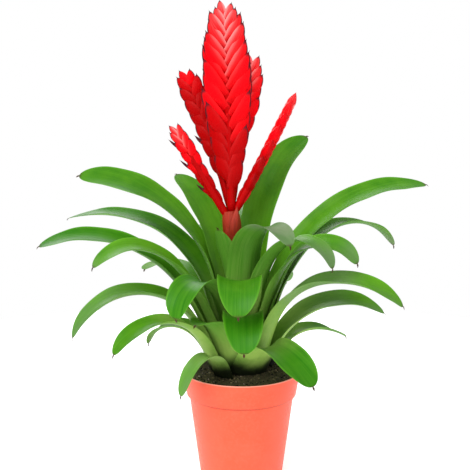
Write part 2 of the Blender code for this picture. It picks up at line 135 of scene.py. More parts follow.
# azimuth, layer, length mm, slopes at 0.3, 0.65 and 1 of the length, sway, width mm,
# twist at half length and at the tip, cup
LEAVES = [
    (224, 1, 180, (86, 80, 66), 0, 38, (0, 0), 1.2),
    (56, 2, 310, (83, 70, 22), -18, 44, (-12, -25), 0.8),
    (278, 3, 246, (83, 65, -58), 34, 46, (0, 0), 0.8),
    (128, 4, 268, (79, 60, 22), 5, 42, (5, 10), 0.8),
    (326, 5, 246, (82, 46, -74), 0, 40, (0, 0), 0.8),
    (167, 6, 330, (76, 41, -3), 8, 47, (0, 40), 0.8),
    (268, 7, 213, (81, 26, -78), 0, 51, (0, 0), 0.8),
    (344, 9, 240, (76, 46, -62), 0, 38, (0, -30), 0.8),
    (233, 9, 210, (79, 24, -88), 0, 46, (0, 0), 0.8),
    (14, 11, 343, (70, 33, -6), 0, 42, (-12, -22), 1.0),
    (150, 11, 336, (66, 17, -16), 5, 40, (5, 8), 1.0),
    (90, 13, 290, (69, 30, -10), 0, 40, (0, 0), 1.0),
    (271, 13, 168, (77, 6, -78), 0, 46, (0, 0), 0.8),
    (20, 15, 298, (71, 27, -56), 0, 40, (-5, 5), 1.0),
    (199, 15, 256, (68, 37, -50), 0, 40, (10, 15), 1.0),
    (108, 17, 290, (60, 20, -20), 0, 40, (0, 0), 1.0),
    (334, 17, 246, (66, 7, -44), 26, 44, (0, -20), 1.0),
    (180, 19, 302, (62, 23, -24), 0, 42, (8, 20), 1.0),
    (72, 19, 230, (52, 4, -36), 0, 40, (0, 0), 1.0),
    (240, 21, 124, (70, 42, -10), 0, 38, (0, 0), 0.8),
    (128, 21, 240, (54, 12, -28), 0, 40, (0, 0), 1.0),
    (6, 21, 192, (54, 10, -34), 0, 40, (-15, -15), 1.0),
    (195, 23, 246, (58, -3, -66), 0, 42, (5, 8), 1.0),
    (88, 23, 200, (40, -10, -50), 0, 38, (0, 0), 1.0),
    (290, 23, 156, (46, -13, -44), 25, 44, (-5, -10), 0.8),
    (156, 25, 132, (51, -4, -68), 0, 34, (5, 5), 1.0),
    (28, 25, 140, (38, -4, -30), 0, 34, (0, 0), 1.0),
    (214, 27, 186, (56, 1, -52), 0, 34, (5, 5), 1.0),
    (118, 29, 60, (40, 10, -30), 0, 28, (0, 0), 1.0),
    (238, 31, 112, (54, -34, -72), -24, 24, (0, 0), 1.0),
]

# scape: height and radius where its axis passes
SCAPE_PROFILE = [
    (0.095, 0.0070), (0.112, 0.0078), (0.130, 0.0076), (0.180, 0.0064),
    (0.250, 0.0070), (0.285, 0.0094), (0.303, 0.0098), (0.316, 0.0080),
]
SCAPE_LEAN = -0.0125
SCAPE_FORWARD = -0.02
SCAPE_STRAIGHT_TO = 0.125
STEM_STEP = 0.0025

# scales that sheathe the scape: azimuth, height of the foot, rise mm, half breadth mm
SCALES = [
    (304, 0.281, 41, 8.2), (226, 0.275, 33, 8.4), (148, 0.276, 38, 8.0), (52, 0.270, 36, 8.0),
    (272, 0.236, 40, 7.2),
]
SCALE_DEPTH = 0.0032
SCALE_REACH = 0.0025

# shares of a spike's rows of bracts at which SPIKES gives their reach
REACH_STATIONS = (0.0, 0.15, 0.35, 0.60, 0.85, 1.0)

# name, foot mm, head mm, sideways bow mm, azimuth the flat face looks to, bracts a side,
# share of the axis where they begin, reach mm of the bract tips at the stations, rise mm of
# the tips over their foot low down, half way and at the top, half breadth mm, half thickness mm
SPIKES = [
    ("spike_main", (-11.6, -3.5, 316.3), (-19.5, -7.0, 540.0), 0.0, 270, 14, 0.12,
     (13, 25, 33, 28, 19, 6), (38, 40, 18), 7.7, 5.4),
    ("spike_left", (-12.5, 1.0, 312.0), (-62.5, 24.0, 464.0), 5.0, 262, 8, 0.24,
     (4, 9, 13, 15, 14, 5), (30, 31, 20), 6.5, 4.3),
    ("spike_right", (-11.0, 1.0, 316.0), (10.0, 24.0, 480.0), -2.0, 280, 8, 0.32,
     (4, 9, 19, 20, 14, 5), (32, 32, 20), 6.5, 4.3),
    ("spike_low", (-12.6, -3.8, 303.0), (-72.0, -15.0, 405.0), 0.0, 262, 7, 0.20,
     (4, 6, 8, 10, 9, 5), (26, 24, 17), 4.6, 3.6),
    ("spike_edge", (-12.0, -3.8, 307.0), (56.0, 6.0, 438.0), 1.0, 355, 7, 0.16,
     (5, 7, 9, 9, 7, 3), (26, 26, 18), 4.8, 6.4),
]

# bracts that stand off their spike: share of the axis, side, reach mm, rise mm
LOOSE_BRACTS = {
    "spike_left": [(0.50, -1, 19, 18)],
    "spike_low": [(0.80, -1, 14, 24), (0.57, -1, 17, 25), (0.30, -1, 14, 21)],
}
LOOSE_SHARE = 0.36

# how dark the tips of a spike's bracts are, where they aren't fully dark
TIP_DARKNESS = {"spike_edge": 0.2}

# painted shade: how much brighter the red of each spike is than the height of its bracts gives; all
# are darker, the spike behind on the left most
SPIKE_SHADE_SHIFT = {
    "spike_main": -0.02, "spike_left": -0.68, "spike_right": -0.05, "spike_low": -0.15,
    "spike_edge": -0.10,
}

# a bract across: how far out towards its keel, how far off its middle plane, and how much
# of that place is its open margin
BRACT_SECTION = [
    (1.00, 0.00, 0.0), (0.86, 0.20, 0.0), (0.55, 0.50, 0.0), (0.12, 0.80, 0.0),
    (-0.35, 0.97, 0.1), (-0.74, 1.02, 0.7), (-0.93, 0.98, 1.0), (-1.00, 0.88, 1.0),
    (-0.92, 0.76, 0.6), (-0.60, 0.30, 0.0),
]
BRACT_ROWS = 18
BRACT_REACH = 1.07
BRACT_WIDEST = 0.36
# how far below its place on the stem a bract begins, in metres
BRACT_FOOT = 0.002
# share of a bract from which its tip is dark, and the same for one that stands off its spike
TIP_CLEAR = 0.86
LOOSE_TIP_CLEAR = 0.56

# how far bracts differ: turn about their spike, place along it in metres, and the draws' seed
BRACT_LEAN = 0.12
BRACT_SHIFT = 0.0009
BRACT_SEED = 7
# painted shade: how much deeper the red is low on a spike's left side
SIDE_SHADE = 0.14

# a spike's own stem: shares of its axis, and radius in metres at all of them but the first
SPIKE_STEM_AT = (0.0, 0.12, 0.35, 0.7, 1.0)
SPIKE_STEM_RADII = (0.0046, 0.0050, 0.0040, 0.0015)
MAIN_FOOT_RADIUS = 0.0050
SIDE_FOOT_RADIUS = 0.0028

# how the direction of a bract turns: share of the bract, share of its whole lean
BRACT_TURN_AT = (0.0, 0.18, 0.55, 0.87, 1.08)
BRACT_TURN = (1.25, 1.12, 0.76, 0.52, 0.66)

# the view of the photograph, which is 470 pixels across
VIEW_PIXELS = 470.0
VIEW_FOCAL_PIXELS = 965.0
VIEW_FROM = (-0.0076, -1.10, 0.455)
VIEW_AIM_Z = 0.2875
SENSOR = 36.0

LAMP_HEIGHT = 1.5
# name, degrees that the light is spread over, degrees that it is turned by
LIGHTS = [
    ("key", 50.0, (48.0, 0.0, -38.0)),
    ("fill", 60.0, (78.0, 0.0, 26.0)),
    ("top", 34.0, (-58.0, 0.0, 14.0)),
]

# colours of small marks and of the studio
SCUFFED = (1.0, 0.42, 0.30)
# painted highlight: the pale line along the top of the pot's lip
LIP_HIGHLIGHT = (1.0, 0.55, 0.45)
PEAT_DUST = (0.05, 0.03, 0.018)
PALE_GRIT = (0.42, 0.34, 0.26)
STEM_FOOT = (0.10, 0.16, 0.03)
STEM_HEAD = (0.52, 0.040, 0.020)
WHITE = (1.0, 1.0, 1.0, 1.0)

# what every colour in the settings shares
COLOUR = {"subtype": "COLOR", "size": 3, "min": 0.0, "max": 1.0}


class PotSettings(bpy.types.PropertyGroup):
    """Size of the mesh and finish of the pot."""

    segments: bpy.props.IntProperty(
        name="Segments", description="Faces round the pot", default=144, min=24, max=256
    )
    colour: bpy.props.FloatVectorProperty(
        name="Colour", description="Colour of the plastic", default=(0.80, 0.082, 0.031), **COLOUR
    )
    roughness: bpy.props.FloatProperty(
        name="Roughness", description="How matte the plastic is", default=0.38, min=0.0, max=1.0
    )


class CompostSettings(bpy.types.PropertyGroup):
    """Size of the lumps and crumbs, and colours of the compost."""

    lump: bpy.props.FloatProperty(
        name="Lumps", description="Height of the lumps", default=0.0016, unit="LENGTH", min=0.0
    )
    crumb: bpy.props.FloatProperty(
        name="Crumb", description="Size of the largest crumbs of bark", default=0.0034,
        unit="LENGTH", min=0.0002,
    )
    density: bpy.props.FloatProperty(
        name="Crumbs a square metre", description="How close the crumbs lie",
        default=90000.0, min=0.0,
    )
    dark: bpy.props.FloatVectorProperty(
        name="Peat", description="Colour of the wet peat",
        default=(0.0055, 0.0060, 0.0035), **COLOUR
    )
    light: bpy.props.FloatVectorProperty(
        name="Bark", description="Colour of the dry bark", default=(0.27, 0.23, 0.115), **COLOUR
    )


class LeafSettings(bpy.types.PropertyGroup):
    """Size of the mesh, thickness and colours of the leaves."""

    rows: bpy.props.IntProperty(
        name="Rows", description="Faces along a leaf", default=92, min=12, max=200
    )
    columns: bpy.props.IntProperty(
        name="Columns", description="Faces across a leaf", default=18, min=6, max=40
    )
    thickness: bpy.props.FloatProperty(
        name="Thickness", description="Thickness in the middle of a blade", default=0.0009,
        unit="LENGTH", min=0.0002,
    )
    wave: bpy.props.FloatProperty(
        name="Wave", description="How far the margins wave up and down", default=0.0008,
        unit="LENGTH", min=0.0,
    )
    deep: bpy.props.FloatVectorProperty(
        name="Deep green", description="Darker green of the upper face",
        default=(0.018, 0.148, 0.0015), **COLOUR
    )
    fresh: bpy.props.FloatVectorProperty(
        name="Fresh green", description="Lighter green of the upper face",
        default=(0.090, 0.278, 0.008), **COLOUR
    )
    foot: bpy.props.FloatVectorProperty(
        name="Foot", description="Pale green of the sheath", default=(0.32, 0.50, 0.100), **COLOUR
    )
    # near black of the buried ends: partly peat stain, partly painted shade under the rosette
    stain_and_shade: bpy.props.FloatVectorProperty(
        name="Stain", description="Peat brown of the sheaths' buried ends",
        default=(0.006, 0.009, 0.003), **COLOUR
    )
    # grey green of dusty ends, also laid as a painted sheen over the arch of some blades
    dusty: bpy.props.FloatVectorProperty(
        name="Dusty end", description="Grey green of the ends that have dulled",
        default=(0.20, 0.27, 0.145), **COLOUR
    )
    under: bpy.props.FloatVectorProperty(
        name="Under", description="Grey green of the lower face",
        default=(0.075, 0.270, 0.016), **COLOUR
    )
    point: bpy.props.FloatVectorProperty(
        name="Point", description="Brown of the dry point", default=(0.06, 0.028, 0.012), **COLOUR
    )


class FlowerSettings(bpy.types.PropertyGroup):
    """Colours of the scape and of the bracts."""

    stem_sides: bpy.props.IntProperty(
        name="Stem sides", description="Faces round the scape", default=28, min=8, max=64
    )
    bright: bpy.props.FloatVectorProperty(
        name="Bright red", description="Red of the open bracts",
        default=(0.98, 0.001, 0.006), **COLOUR
    )
    # the deep red that paints shade low in a spike, at the bracts' feet and on the spikes behind
    dark: bpy.props.FloatVectorProperty(
        name="Deep red", description="Red low in a spike", default=(0.42, 0.0005, 0.001), **COLOUR
    )
    margin: bpy.props.FloatVectorProperty(
        name="Margin", description="Salmon pink of the thin margins",
        default=(1.0, 0.31, 0.30), **COLOUR
    )
    tip: bpy.props.FloatVectorProperty(
        name="Tip", description="Purple brown of the hooked tips",
        default=(0.075, 0.012, 0.018), **COLOUR
    )
    stem: bpy.props.FloatVectorProperty(
        name="Stem", description="Brown red of the scape", default=(0.30, 0.022, 0.006), **COLOUR
    )


class StageSettings(bpy.types.PropertyGroup):
    """The floor and the light."""

    floor_radius: bpy.props.FloatProperty(
        name="Floor", description="Radius of the floor", default=0.9, unit="LENGTH", min=0.2
    )
    sky: bpy.props.FloatProperty(
        name="Sky", description="Strength of the light from all round", default=0.50, min=0.0
    )
    key: bpy.props.FloatProperty(
        name="Key", description="Strength of the soft main light", default=2.7, min=0.0
    )
    fill: bpy.props.FloatProperty(
        name="Fill", description="Strength of the low light from the front", default=0.9, min=0.0
    )
    top: bpy.props.FloatProperty(
        name="Top", description="Strength of the light from behind above", default=0.8, min=0.0
    )

def smooth(value):
    """The value held between 0 and 1, and eased at both."""
    value = np.clip(value, 0.0, 1.0)
    return value * value * (3.0 - 2.0 * value)


def toned(colour, gain, more=0.0):
    """A colour made darker or paler."""
    return tuple(min(1.0, part * gain + more) for part in colour)


class Nodes:
    """A node tree under way. An input takes a value or another node's output."""

    def __init__(self, tree):
        self.tree = tree

    def feed(self, inputs, values):
        for key, value in values.items():
            if isinstance(value, bpy.types.NodeSocket):
                self.tree.links.new(value, inputs[key])
            else:
                inputs[key].default_value = value

    def add(self, kind, inputs=None, **settings):
        """The outputs of a new node."""
        made = self.tree.nodes.new(kind)
        for name, value in settings.items():
            setattr(made, name, value)
        self.feed(made.inputs, inputs or {})
        return made.outputs

    def math(self, operation, first, second=0.5):
        return self.add("ShaderNodeMath", {0: first, 1: second}, operation=operation)[0]

    def times(self, first, second):
        return self.math("MULTIPLY", first, second)

    def plus(self, first, second):
        return self.math("ADD", first, second)

    def ease(self, value, low, high, to_low=0.0, to_high=1.0):
        """The value eased from one range to another and held at its ends."""
        inputs = {0: value, 1: low, 2: high, 3: to_low, 4: to_high}
        return self.add("ShaderNodeMapRange", inputs, interpolation_type="SMOOTHSTEP")[0]

    def noise(self, spot, scale, detail):
        inputs = {"Vector": spot, "Scale": scale, "Detail": detail, "Roughness": 0.6}
        return self.add("ShaderNodeTexNoise", inputs)[0]

    def scaled(self, vector, amount):
        return self.add("ShaderNodeVectorMath", {0: vector, 3: amount}, operation="SCALE")[0]

    def chance(self, seed):
        """A number between 0 and 1 that differs from piece to piece."""
        inputs = {2: 0.0, 3: 1.0, "Seed": seed}
        return self.add("FunctionNodeRandomValue", inputs, data_type="FLOAT")[1]

    def chance_vector(self, low, high, seed):
        inputs = {0: low, 1: high, "Seed": seed}
        return self.add("FunctionNodeRandomValue", inputs, data_type="FLOAT_VECTOR")[0]


def shared_tree(name, kind, inputs, output, fill):
    """The node group of that name. It is made and filled when it is first asked for."""
    if name in bpy.data.node_groups:
        return bpy.data.node_groups[name]
    tree = bpy.data.node_groups.new(name, kind)
    for label, what, value in inputs:
        socket = tree.interface.new_socket(label, in_out="INPUT", socket_type="NodeSocket" + what)
        if value is not None:
            socket.default_value = value
    label, what = output
    tree.interface.new_socket(label, in_out="OUTPUT", socket_type="NodeSocket" + what)
    given = tree.nodes.new("NodeGroupInput").outputs
    end = tree.nodes.new("NodeGroupOutput").inputs
    tree.links.new(fill(Nodes(tree), given), end[0])
    if kind == "GeometryNodeTree":
        tree.is_modifier = True
    return tree


def lines_tree():
    """Fine irregular lines along the second axis of the vector, such as veins."""

    def fill(nodes, given):
        parts = nodes.add("ShaderNodeSeparateXYZ", {0: given["Vector"]})
        across = nodes.math("DIVIDE", parts[0], given["Spacing"])
        along = nodes.math("DIVIDE", parts[1], nodes.times(given["Spacing"], given["Stretch"]))
        spot = nodes.add("ShaderNodeCombineXYZ", {0: across, 1: along})[0]
        return nodes.ease(nodes.noise(spot, 1.0, 2.0), 0.32, 0.68)

    inputs = [("Vector", "Vector", None), ("Spacing", "Float", 0.001), ("Stretch", "Float", 60.0)]
    return shared_tree("Lengthwise lines", "ShaderNodeTree", inputs, ("Lines", "Float"), fill)


def patches_tree():
    """Soft cloudy patches of a given size."""

    def fill(nodes, given):
        cloud = nodes.noise(given["Vector"], nodes.math("DIVIDE", 1.0, given["Size"]), 4.0)
        low = nodes.times(given["Sharpness"], 0.5)
        return nodes.ease(cloud, low, nodes.math("SUBTRACT", 1.0, low))

    inputs = [("Vector", "Vector", None), ("Size", "Float", 0.01), ("Sharpness", "Float", 0.3)]
    return shared_tree("Patches", "ShaderNodeTree", inputs, ("Patches", "Float"), fill)


class Paint(Nodes):
    """A material under way, from a place on its surface to its Principled shader."""

    def __init__(self, name, uv_map=None):
        self.material = bpy.data.materials.new(name)
        self.material.use_nodes = True
        super().__init__(self.material.node_tree)
        self.shader = self.tree.nodes["Principled BSDF"].inputs
        if uv_map:
            self.spot = self.add("ShaderNodeUVMap", uv_map=uv_map)[0]
        else:
            self.spot = self.add("ShaderNodeTexCoord")["Object"]

    def axis(self, number):
        return self.add("ShaderNodeSeparateXYZ", {0: self.spot})[number]

    def attribute(self, name):
        return self.add("ShaderNodeAttribute", attribute_name=name)["Fac"]

    def lines(self, spacing, stretch):
        inputs = {"Vector": self.spot, "Spacing": spacing, "Stretch": stretch}
        return self.add("ShaderNodeGroup", inputs, node_tree=lines_tree())[0]

    def patches(self, size, sharpness=0.3):
        inputs = {"Vector": self.spot, "Size": size, "Sharpness": sharpness}
        return self.add("ShaderNodeGroup", inputs, node_tree=patches_tree())[0]

    def over(self, share, base, colour):
        """A colour laid over another by a share. Each is a socket or three numbers."""
        inputs = {0: share}
        for key, part in ((6, base), (7, colour)):
            inputs[key] = part if isinstance(part, bpy.types.NodeSocket) else (*part, 1.0)
        return self.add("ShaderNodeMix", inputs, data_type="RGBA")[2]

    def finish(self, colour, roughness, specular, heights=()):
        """The material. Each height raises its surface, by metres from lowest to highest."""
        normal = {}
        for height, distance in heights:
            inputs = {"Height": height, "Distance": distance, "Strength": 1.0, **normal}
            normal = {"Normal": self.add("ShaderNodeBump", inputs)[0]}
        self.feed(self.shader, {
            "Base Color": colour, "Roughness": roughness, "Specular IOR Level": specular, **normal,
        })
        return self.material


def pot_plastic(settings):
    """Coloured plastic with a fine moulded grain, faint scuffs, peat dust inside the rim, painted
    shade under the band and a painted highlight on the lip.
    """
    paint = Paint("moulded orange plastic")
    cloud = paint.patches(0.03)
    fine = paint.patches(0.0006)
    scuff = paint.ease(paint.patches(0.004, 0.7), 0.55, 0.9)
    base = paint.over(cloud, settings.colour, toned(settings.colour, 1.04, 0.015))
    base = paint.over(paint.times(scuff, 0.03), base, SCUFFED)
    height = paint.axis(2)
    # painted shadow: a dark line just under the rim band, where the band's step would throw shade
    painted_band_shadow = paint.math("ABSOLUTE", paint.math("SUBTRACT", height, RIM_SKIRT_Z - 0.0006))
    painted_band_shadow = paint.times(paint.ease(painted_band_shadow, 0.0019, 0.0003), 0.62)
    base = paint.over(painted_band_shadow, base, toned(settings.colour, 0.35))
    # painted highlight: the top edge of the lip made paler, where light would catch the rounded rim
    painted_lip_highlight = paint.times(paint.ease(height, POT_HEIGHT - 0.0016, POT_HEIGHT), 0.5)
    base = paint.over(painted_lip_highlight, base, LIP_HIGHLIGHT)
    dust = paint.ease(height, SOIL_LEVEL + 0.0035, SOIL_LEVEL)
    dust = paint.times(dust, paint.attribute("inside"))
    speck = paint.ease(paint.patches(0.0011, 0.6), 0.3, 0.7)
    base = paint.over(paint.times(dust, speck), base, PEAT_DUST)
    rough = settings.roughness
    gloss = paint.ease(paint.plus(cloud, scuff), 0.0, 1.6, rough - 0.05, rough + 0.12)
    return paint.finish(base, gloss, 0.32, [(fine, 0.00002), (cloud, 0.00012)])


def wet_compost(settings):
    """Peat and bark: black, brown and a little grey green, rough and crumbly."""
    paint = Paint("bark compost")
    clods = paint.patches(0.0045, 0.5)
    fibres = paint.patches(0.0012, 0.4)
    base = paint.over(clods, settings.dark, toned(settings.light, 0.25))
    base = paint.over(paint.times(fibres, 0.25), base, settings.light)
    gloss = paint.ease(clods, 0.0, 1.0, 0.75, 0.98)
    return paint.finish(base, gloss, 0.15, [(fibres, 0.0008), (clods, 0.0015)])


def bark_crumbs(settings):
    """Crumbs whose tone differs from one to the next, a few of them pale grit."""
    paint = Paint("bark crumbs")
    tone = paint.attribute("tone")
    grain = paint.patches(0.0007, 0.4)
    region = paint.ease(paint.patches(0.022, 0.5), 0.3, 0.8, 0.40, 1.0)
    light = paint.times(paint.ease(tone, 0.10, 0.70), region)
    base = paint.over(light, settings.dark, settings.light)
    base = paint.over(paint.ease(tone, 0.935, 0.945), base, PALE_GRIT)
    base = paint.over(paint.times(grain, 0.5), base, settings.dark)
    gloss = paint.ease(grain, 0.0, 1.0, 0.7, 0.95)
    return paint.finish(base, gloss, 0.15, [(grain, 0.0004)])


def glossy_leaf(settings):
    """Waxy green with fine lengthwise veins, pale towards the foot, grey green beneath."""
    paint = Paint("waxy leaf", "blade")
    travelled = paint.axis(1)
    under = paint.attribute("under")
    cloud = paint.patches(0.035)
    veins = paint.lines(0.0011, 70.0)
    bands = paint.lines(0.0060, 30.0)
    mixed = paint.plus(paint.times(cloud, 0.55), paint.attribute("tone"))
    # painted light: the lower part of each blade made fresher green, lifting the shade it lies in
    mixed = paint.plus(mixed, paint.ease(travelled, 0.30, 0.12, 0.0, 0.28))
    top = paint.over(paint.ease(mixed, 0.1, 1.1), settings.deep, settings.fresh)
    pale = toned(settings.fresh, 1.5, 0.01)
    # veins and bands are paler green; the pale margins are partly their own colour, partly a
    # painted highlight along the blade's edges
    for mark, strength in ((veins, 0.13), (bands, 0.14), (paint.attribute("rim"), 0.45)):
        top = paint.over(paint.times(mark, strength), top, pale)
    beneath = paint.over(paint.times(cloud, 0.5), settings.under, toned(settings.under, 0.55))
    beneath = paint.over(paint.times(veins, 0.22), beneath, settings.foot)
    base = paint.over(under, top, beneath)
    sheath = paint.times(paint.attribute("sheath"), paint.ease(cloud, 0.1, 0.9, 0.45, 0.90))
    base = paint.over(sheath, base, settings.foot)
    # partly dust on the ends, partly a painted sheen on the arch of some blades: grey green laid
    # over them
    dusty = paint.times(paint.attribute("dusty"), paint.ease(cloud, 0.2, 0.8, 0.9, 0.5))
    base = paint.over(dusty, base, settings.dusty)
    # partly peat stain, partly painted shade: the blades go near black towards their feet, under
    # the rosette
    stain_and_shade = paint.plus(travelled, paint.times(cloud, 0.012))
    base = paint.over(paint.ease(stain_and_shade, 0.052, 0.026), base, settings.stain_and_shade)
    base = paint.over(paint.attribute("point"), base, settings.point)
    gloss = paint.plus(paint.ease(cloud, 0.0, 1.0, 0.32, 0.44), paint.times(under, 0.14))
    return paint.finish(base, gloss, 0.13, [(bands, 0.00010)])


def red_bract(settings):
    """Shining red with purple brown tips; painted shade makes it deeper low in a spike and at each
    bract's foot, and its salmon margins are partly a painted highlight.
    """
    paint = Paint("red bract", "bract")
    cloud = paint.patches(0.012)
    veins = paint.lines(0.0008, 30.0)
    share = paint.attribute("share")
    place = paint.plus(paint.attribute("height"), paint.times(paint.attribute("tone"), 0.10))
    # painted shade: the red goes deep low in a spike, where shade falls among the bracts
    base = paint.over(paint.ease(place, 0.06, 0.40), settings.dark, settings.bright)
    flush = paint.times(paint.ease(place, 0.78, 1.18), paint.ease(share, 0.3, 0.8))
    base = paint.over(paint.times(flush, 0.20), base, settings.margin)
    # painted shade: each bract deeper red towards its foot, where the bract above and the stem
    # shade it
    deep = paint.times(paint.ease(share, 0.55, 0.05), 0.45)
    deep = paint.plus(deep, paint.times(cloud, 0.15))
    base = paint.over(deep, base, settings.dark)
    streak = paint.times(veins, paint.ease(place, 0.55, 1.05, 0.0, 0.20))
    base = paint.over(streak, base, settings.margin)
    # the salmon margins high on a spike: partly the thin margins' own colour, partly a painted
    # highlight
    pink = paint.times(paint.attribute("rim"), paint.ease(place, 0.42, 0.95, 0.02, 0.85))
    base = paint.over(pink, base, settings.margin)
    base = paint.over(paint.attribute("tip"), base, settings.tip)
    gloss = paint.ease(cloud, 0.0, 1.0, 0.30, 0.42)
    return paint.finish(base, gloss, 0.05, [(veins, 0.00012), (cloud, 0.0003)])


def brown_stem(settings):
    """The scape's brown red skin with darker streaks, greener towards the compost."""
    paint = Paint("brown red stem")
    height = paint.axis(2)
    lying = (math.radians(-90.0), 0.0, 0.0)
    paint.spot = paint.add("ShaderNodeMapping", {0: paint.spot, 2: lying})[0]
    streaks = paint.lines(0.0012, 20.0)
    base = paint.over(paint.ease(height, 0.17, 0.27), STEM_FOOT, settings.stem)
    base = paint.over(paint.ease(height, 0.288, 0.318, 0.0, 0.75), base, STEM_HEAD)
    dark = toned(settings.stem, 0.35)
    base = paint.over(paint.times(streaks, 0.4), base, dark)
    base = paint.over(paint.times(paint.attribute("rim"), 0.5), base, dark)
    gloss = paint.ease(streaks, 0.0, 1.0, 0.38, 0.52)
    return paint.finish(base, gloss, 0.25, [(streaks, 0.0002)])


def studio_paper():
    """Nearly white paper that glows a little, so that its shadows stay pale."""
    paint = Paint("white studio paper")
    base = paint.over(paint.patches(0.2), (0.90, 0.90, 0.90), (0.93, 0.93, 0.93))
    paint.feed(paint.shader, {"Emission Color": WHITE, "Emission Strength": 0.50})
    return paint.finish(base, 0.9, 0.5)


def show(name, data):
    """A new object in the scene with that mesh, curve, light or camera."""
    made = bpy.data.objects.new(name, data)
    bpy.context.scene.collection.objects.link(made)
    return made


def publish(name, mesh, material, stands_for):
    """Shows a finished mesh on the plant's body, in the place of its CAD node."""
    piece = show(name, mesh)
    mesh.materials.clear()
    mesh.materials.append(material)
    for face in mesh.polygons:
        face.use_smooth = True
    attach(piece, BODY)
    if stands_for:
        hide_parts(stands_for)
    return piece


def finished_mesh(body, name):
    """The body's shape with its modifiers worked out, as a plain mesh. The body goes."""
    bpy.context.view_layer.update()
    graph = bpy.context.evaluated_depsgraph_get()
    mesh = bpy.data.meshes.new_from_object(body.evaluated_get(graph))
    mesh.name = name
    bpy.data.objects.remove(body, do_unlink=True)
    return mesh


def run_tree(body, tree, values, name):
    """The body's shape after a tree of geometry nodes, as a plain mesh."""
    worked = body.modifiers.new(tree.name, "NODES")
    worked.node_group = tree
    for socket in tree.interface.items_tree:
        if socket.in_out == "INPUT" and socket.name in values:
            worked[socket.identifier] = values[socket.name]
    return finished_mesh(body, name)


def write_shape(shape, mesh):
    """The mesh with the edited shape, whose faces all look outwards."""
    bmesh.ops.recalc_face_normals(shape, faces=shape.faces[:])
    shape.to_mesh(mesh)
    shape.free()
    return mesh


def turned(name, profile, segments):
    """A line of (radius, height) corners, from axis to axis, turned once round +Z."""
    shape = bmesh.new()
    corners = [shape.verts.new((radius, 0.0, height)) for radius, height in profile]
    for first, second in zip(corners, corners[1:]):
        shape.edges.new((first, second))
    bmesh.ops.spin(
        shape, geom=shape.verts[:] + shape.edges[:], cent=(0.0, 0.0, 0.0), axis=(0.0, 0.0, 1.0),
        angle=math.tau, steps=segments, use_merge=True,
    )
    bmesh.ops.remove_doubles(shape, verts=shape.verts[:], dist=MERGE_DISTANCE)
    return write_shape(shape, bpy.data.meshes.new(name))


def rounded(corners):
    """Corners of (radius, height, round), each replaced by a short arc of that round."""
    out = []
    count = len(corners)
    for k, (radius, height, size) in enumerate(corners):
        if size == 0.0 or k in (0, count - 1):
            out.append((radius, height))
            continue
        here = np.array((radius, height))
        before = np.array(corners[k - 1][:2]) - here
        after = np.array(corners[k + 1][:2]) - here
        start = here + before / np.linalg.norm(before) * size
        end = here + after / np.linalg.norm(after) * size
        for share in (0.0, 0.25, 0.5, 0.75, 1.0):
            point = start * (1 - share) ** 2 + here * 2 * share * (1 - share) + end * share**2
            out.append(tuple(point))
    return out


def ring_faces(rings):
    """Corners and quads over rings of points."""
    rows, columns = rings.shape[:2]
    index = np.arange(rows * columns).reshape(rows, columns)
    index = np.hstack([index, index[:, :1]])
    quads = (index[:-1, :-1], index[:-1, 1:], index[1:, 1:], index[1:, :-1])
    return rings.reshape(-1, 3).tolist(), np.stack(quads, -1).reshape(-1, 4).tolist()


def closed_loft(rings):
    """Corners and faces over rings of points, with a face over each end."""
    corners, faces = ring_faces(rings)
    count = rings.shape[1]
    last = len(corners) - count
    faces.append(list(range(count))[::-1])
    faces.append([last + k for k in range(count)])
    return corners, faces


def outward_mesh(name, corners, faces):
    """A mesh of those corners and faces, which all look outwards."""
    plain = bpy.data.meshes.new(name)
    plain.from_pydata(corners, [], faces)
    shape = bmesh.new()
    shape.from_mesh(plain)
    return write_shape(shape, plain)


def write_values(mesh, name, values):
    """A named number at each of the mesh's points."""
    made = mesh.attributes.new(name, "FLOAT", "POINT")
    made.data.foreach_set("value", np.asarray(values, dtype=np.float32).ravel())


def write_map(mesh, name, across, along):
    """A UV map in metres from numbers at the mesh's points."""
    made = mesh.uv_layers.new(name=name)
    corner = np.empty(len(mesh.loops), dtype=np.int32)
    mesh.loops.foreach_get("vertex_index", corner)
    flat = np.stack([np.ravel(across), np.ravel(along)], -1)[corner]
    made.data.foreach_set("uv", flat.astype(np.float32).ravel())


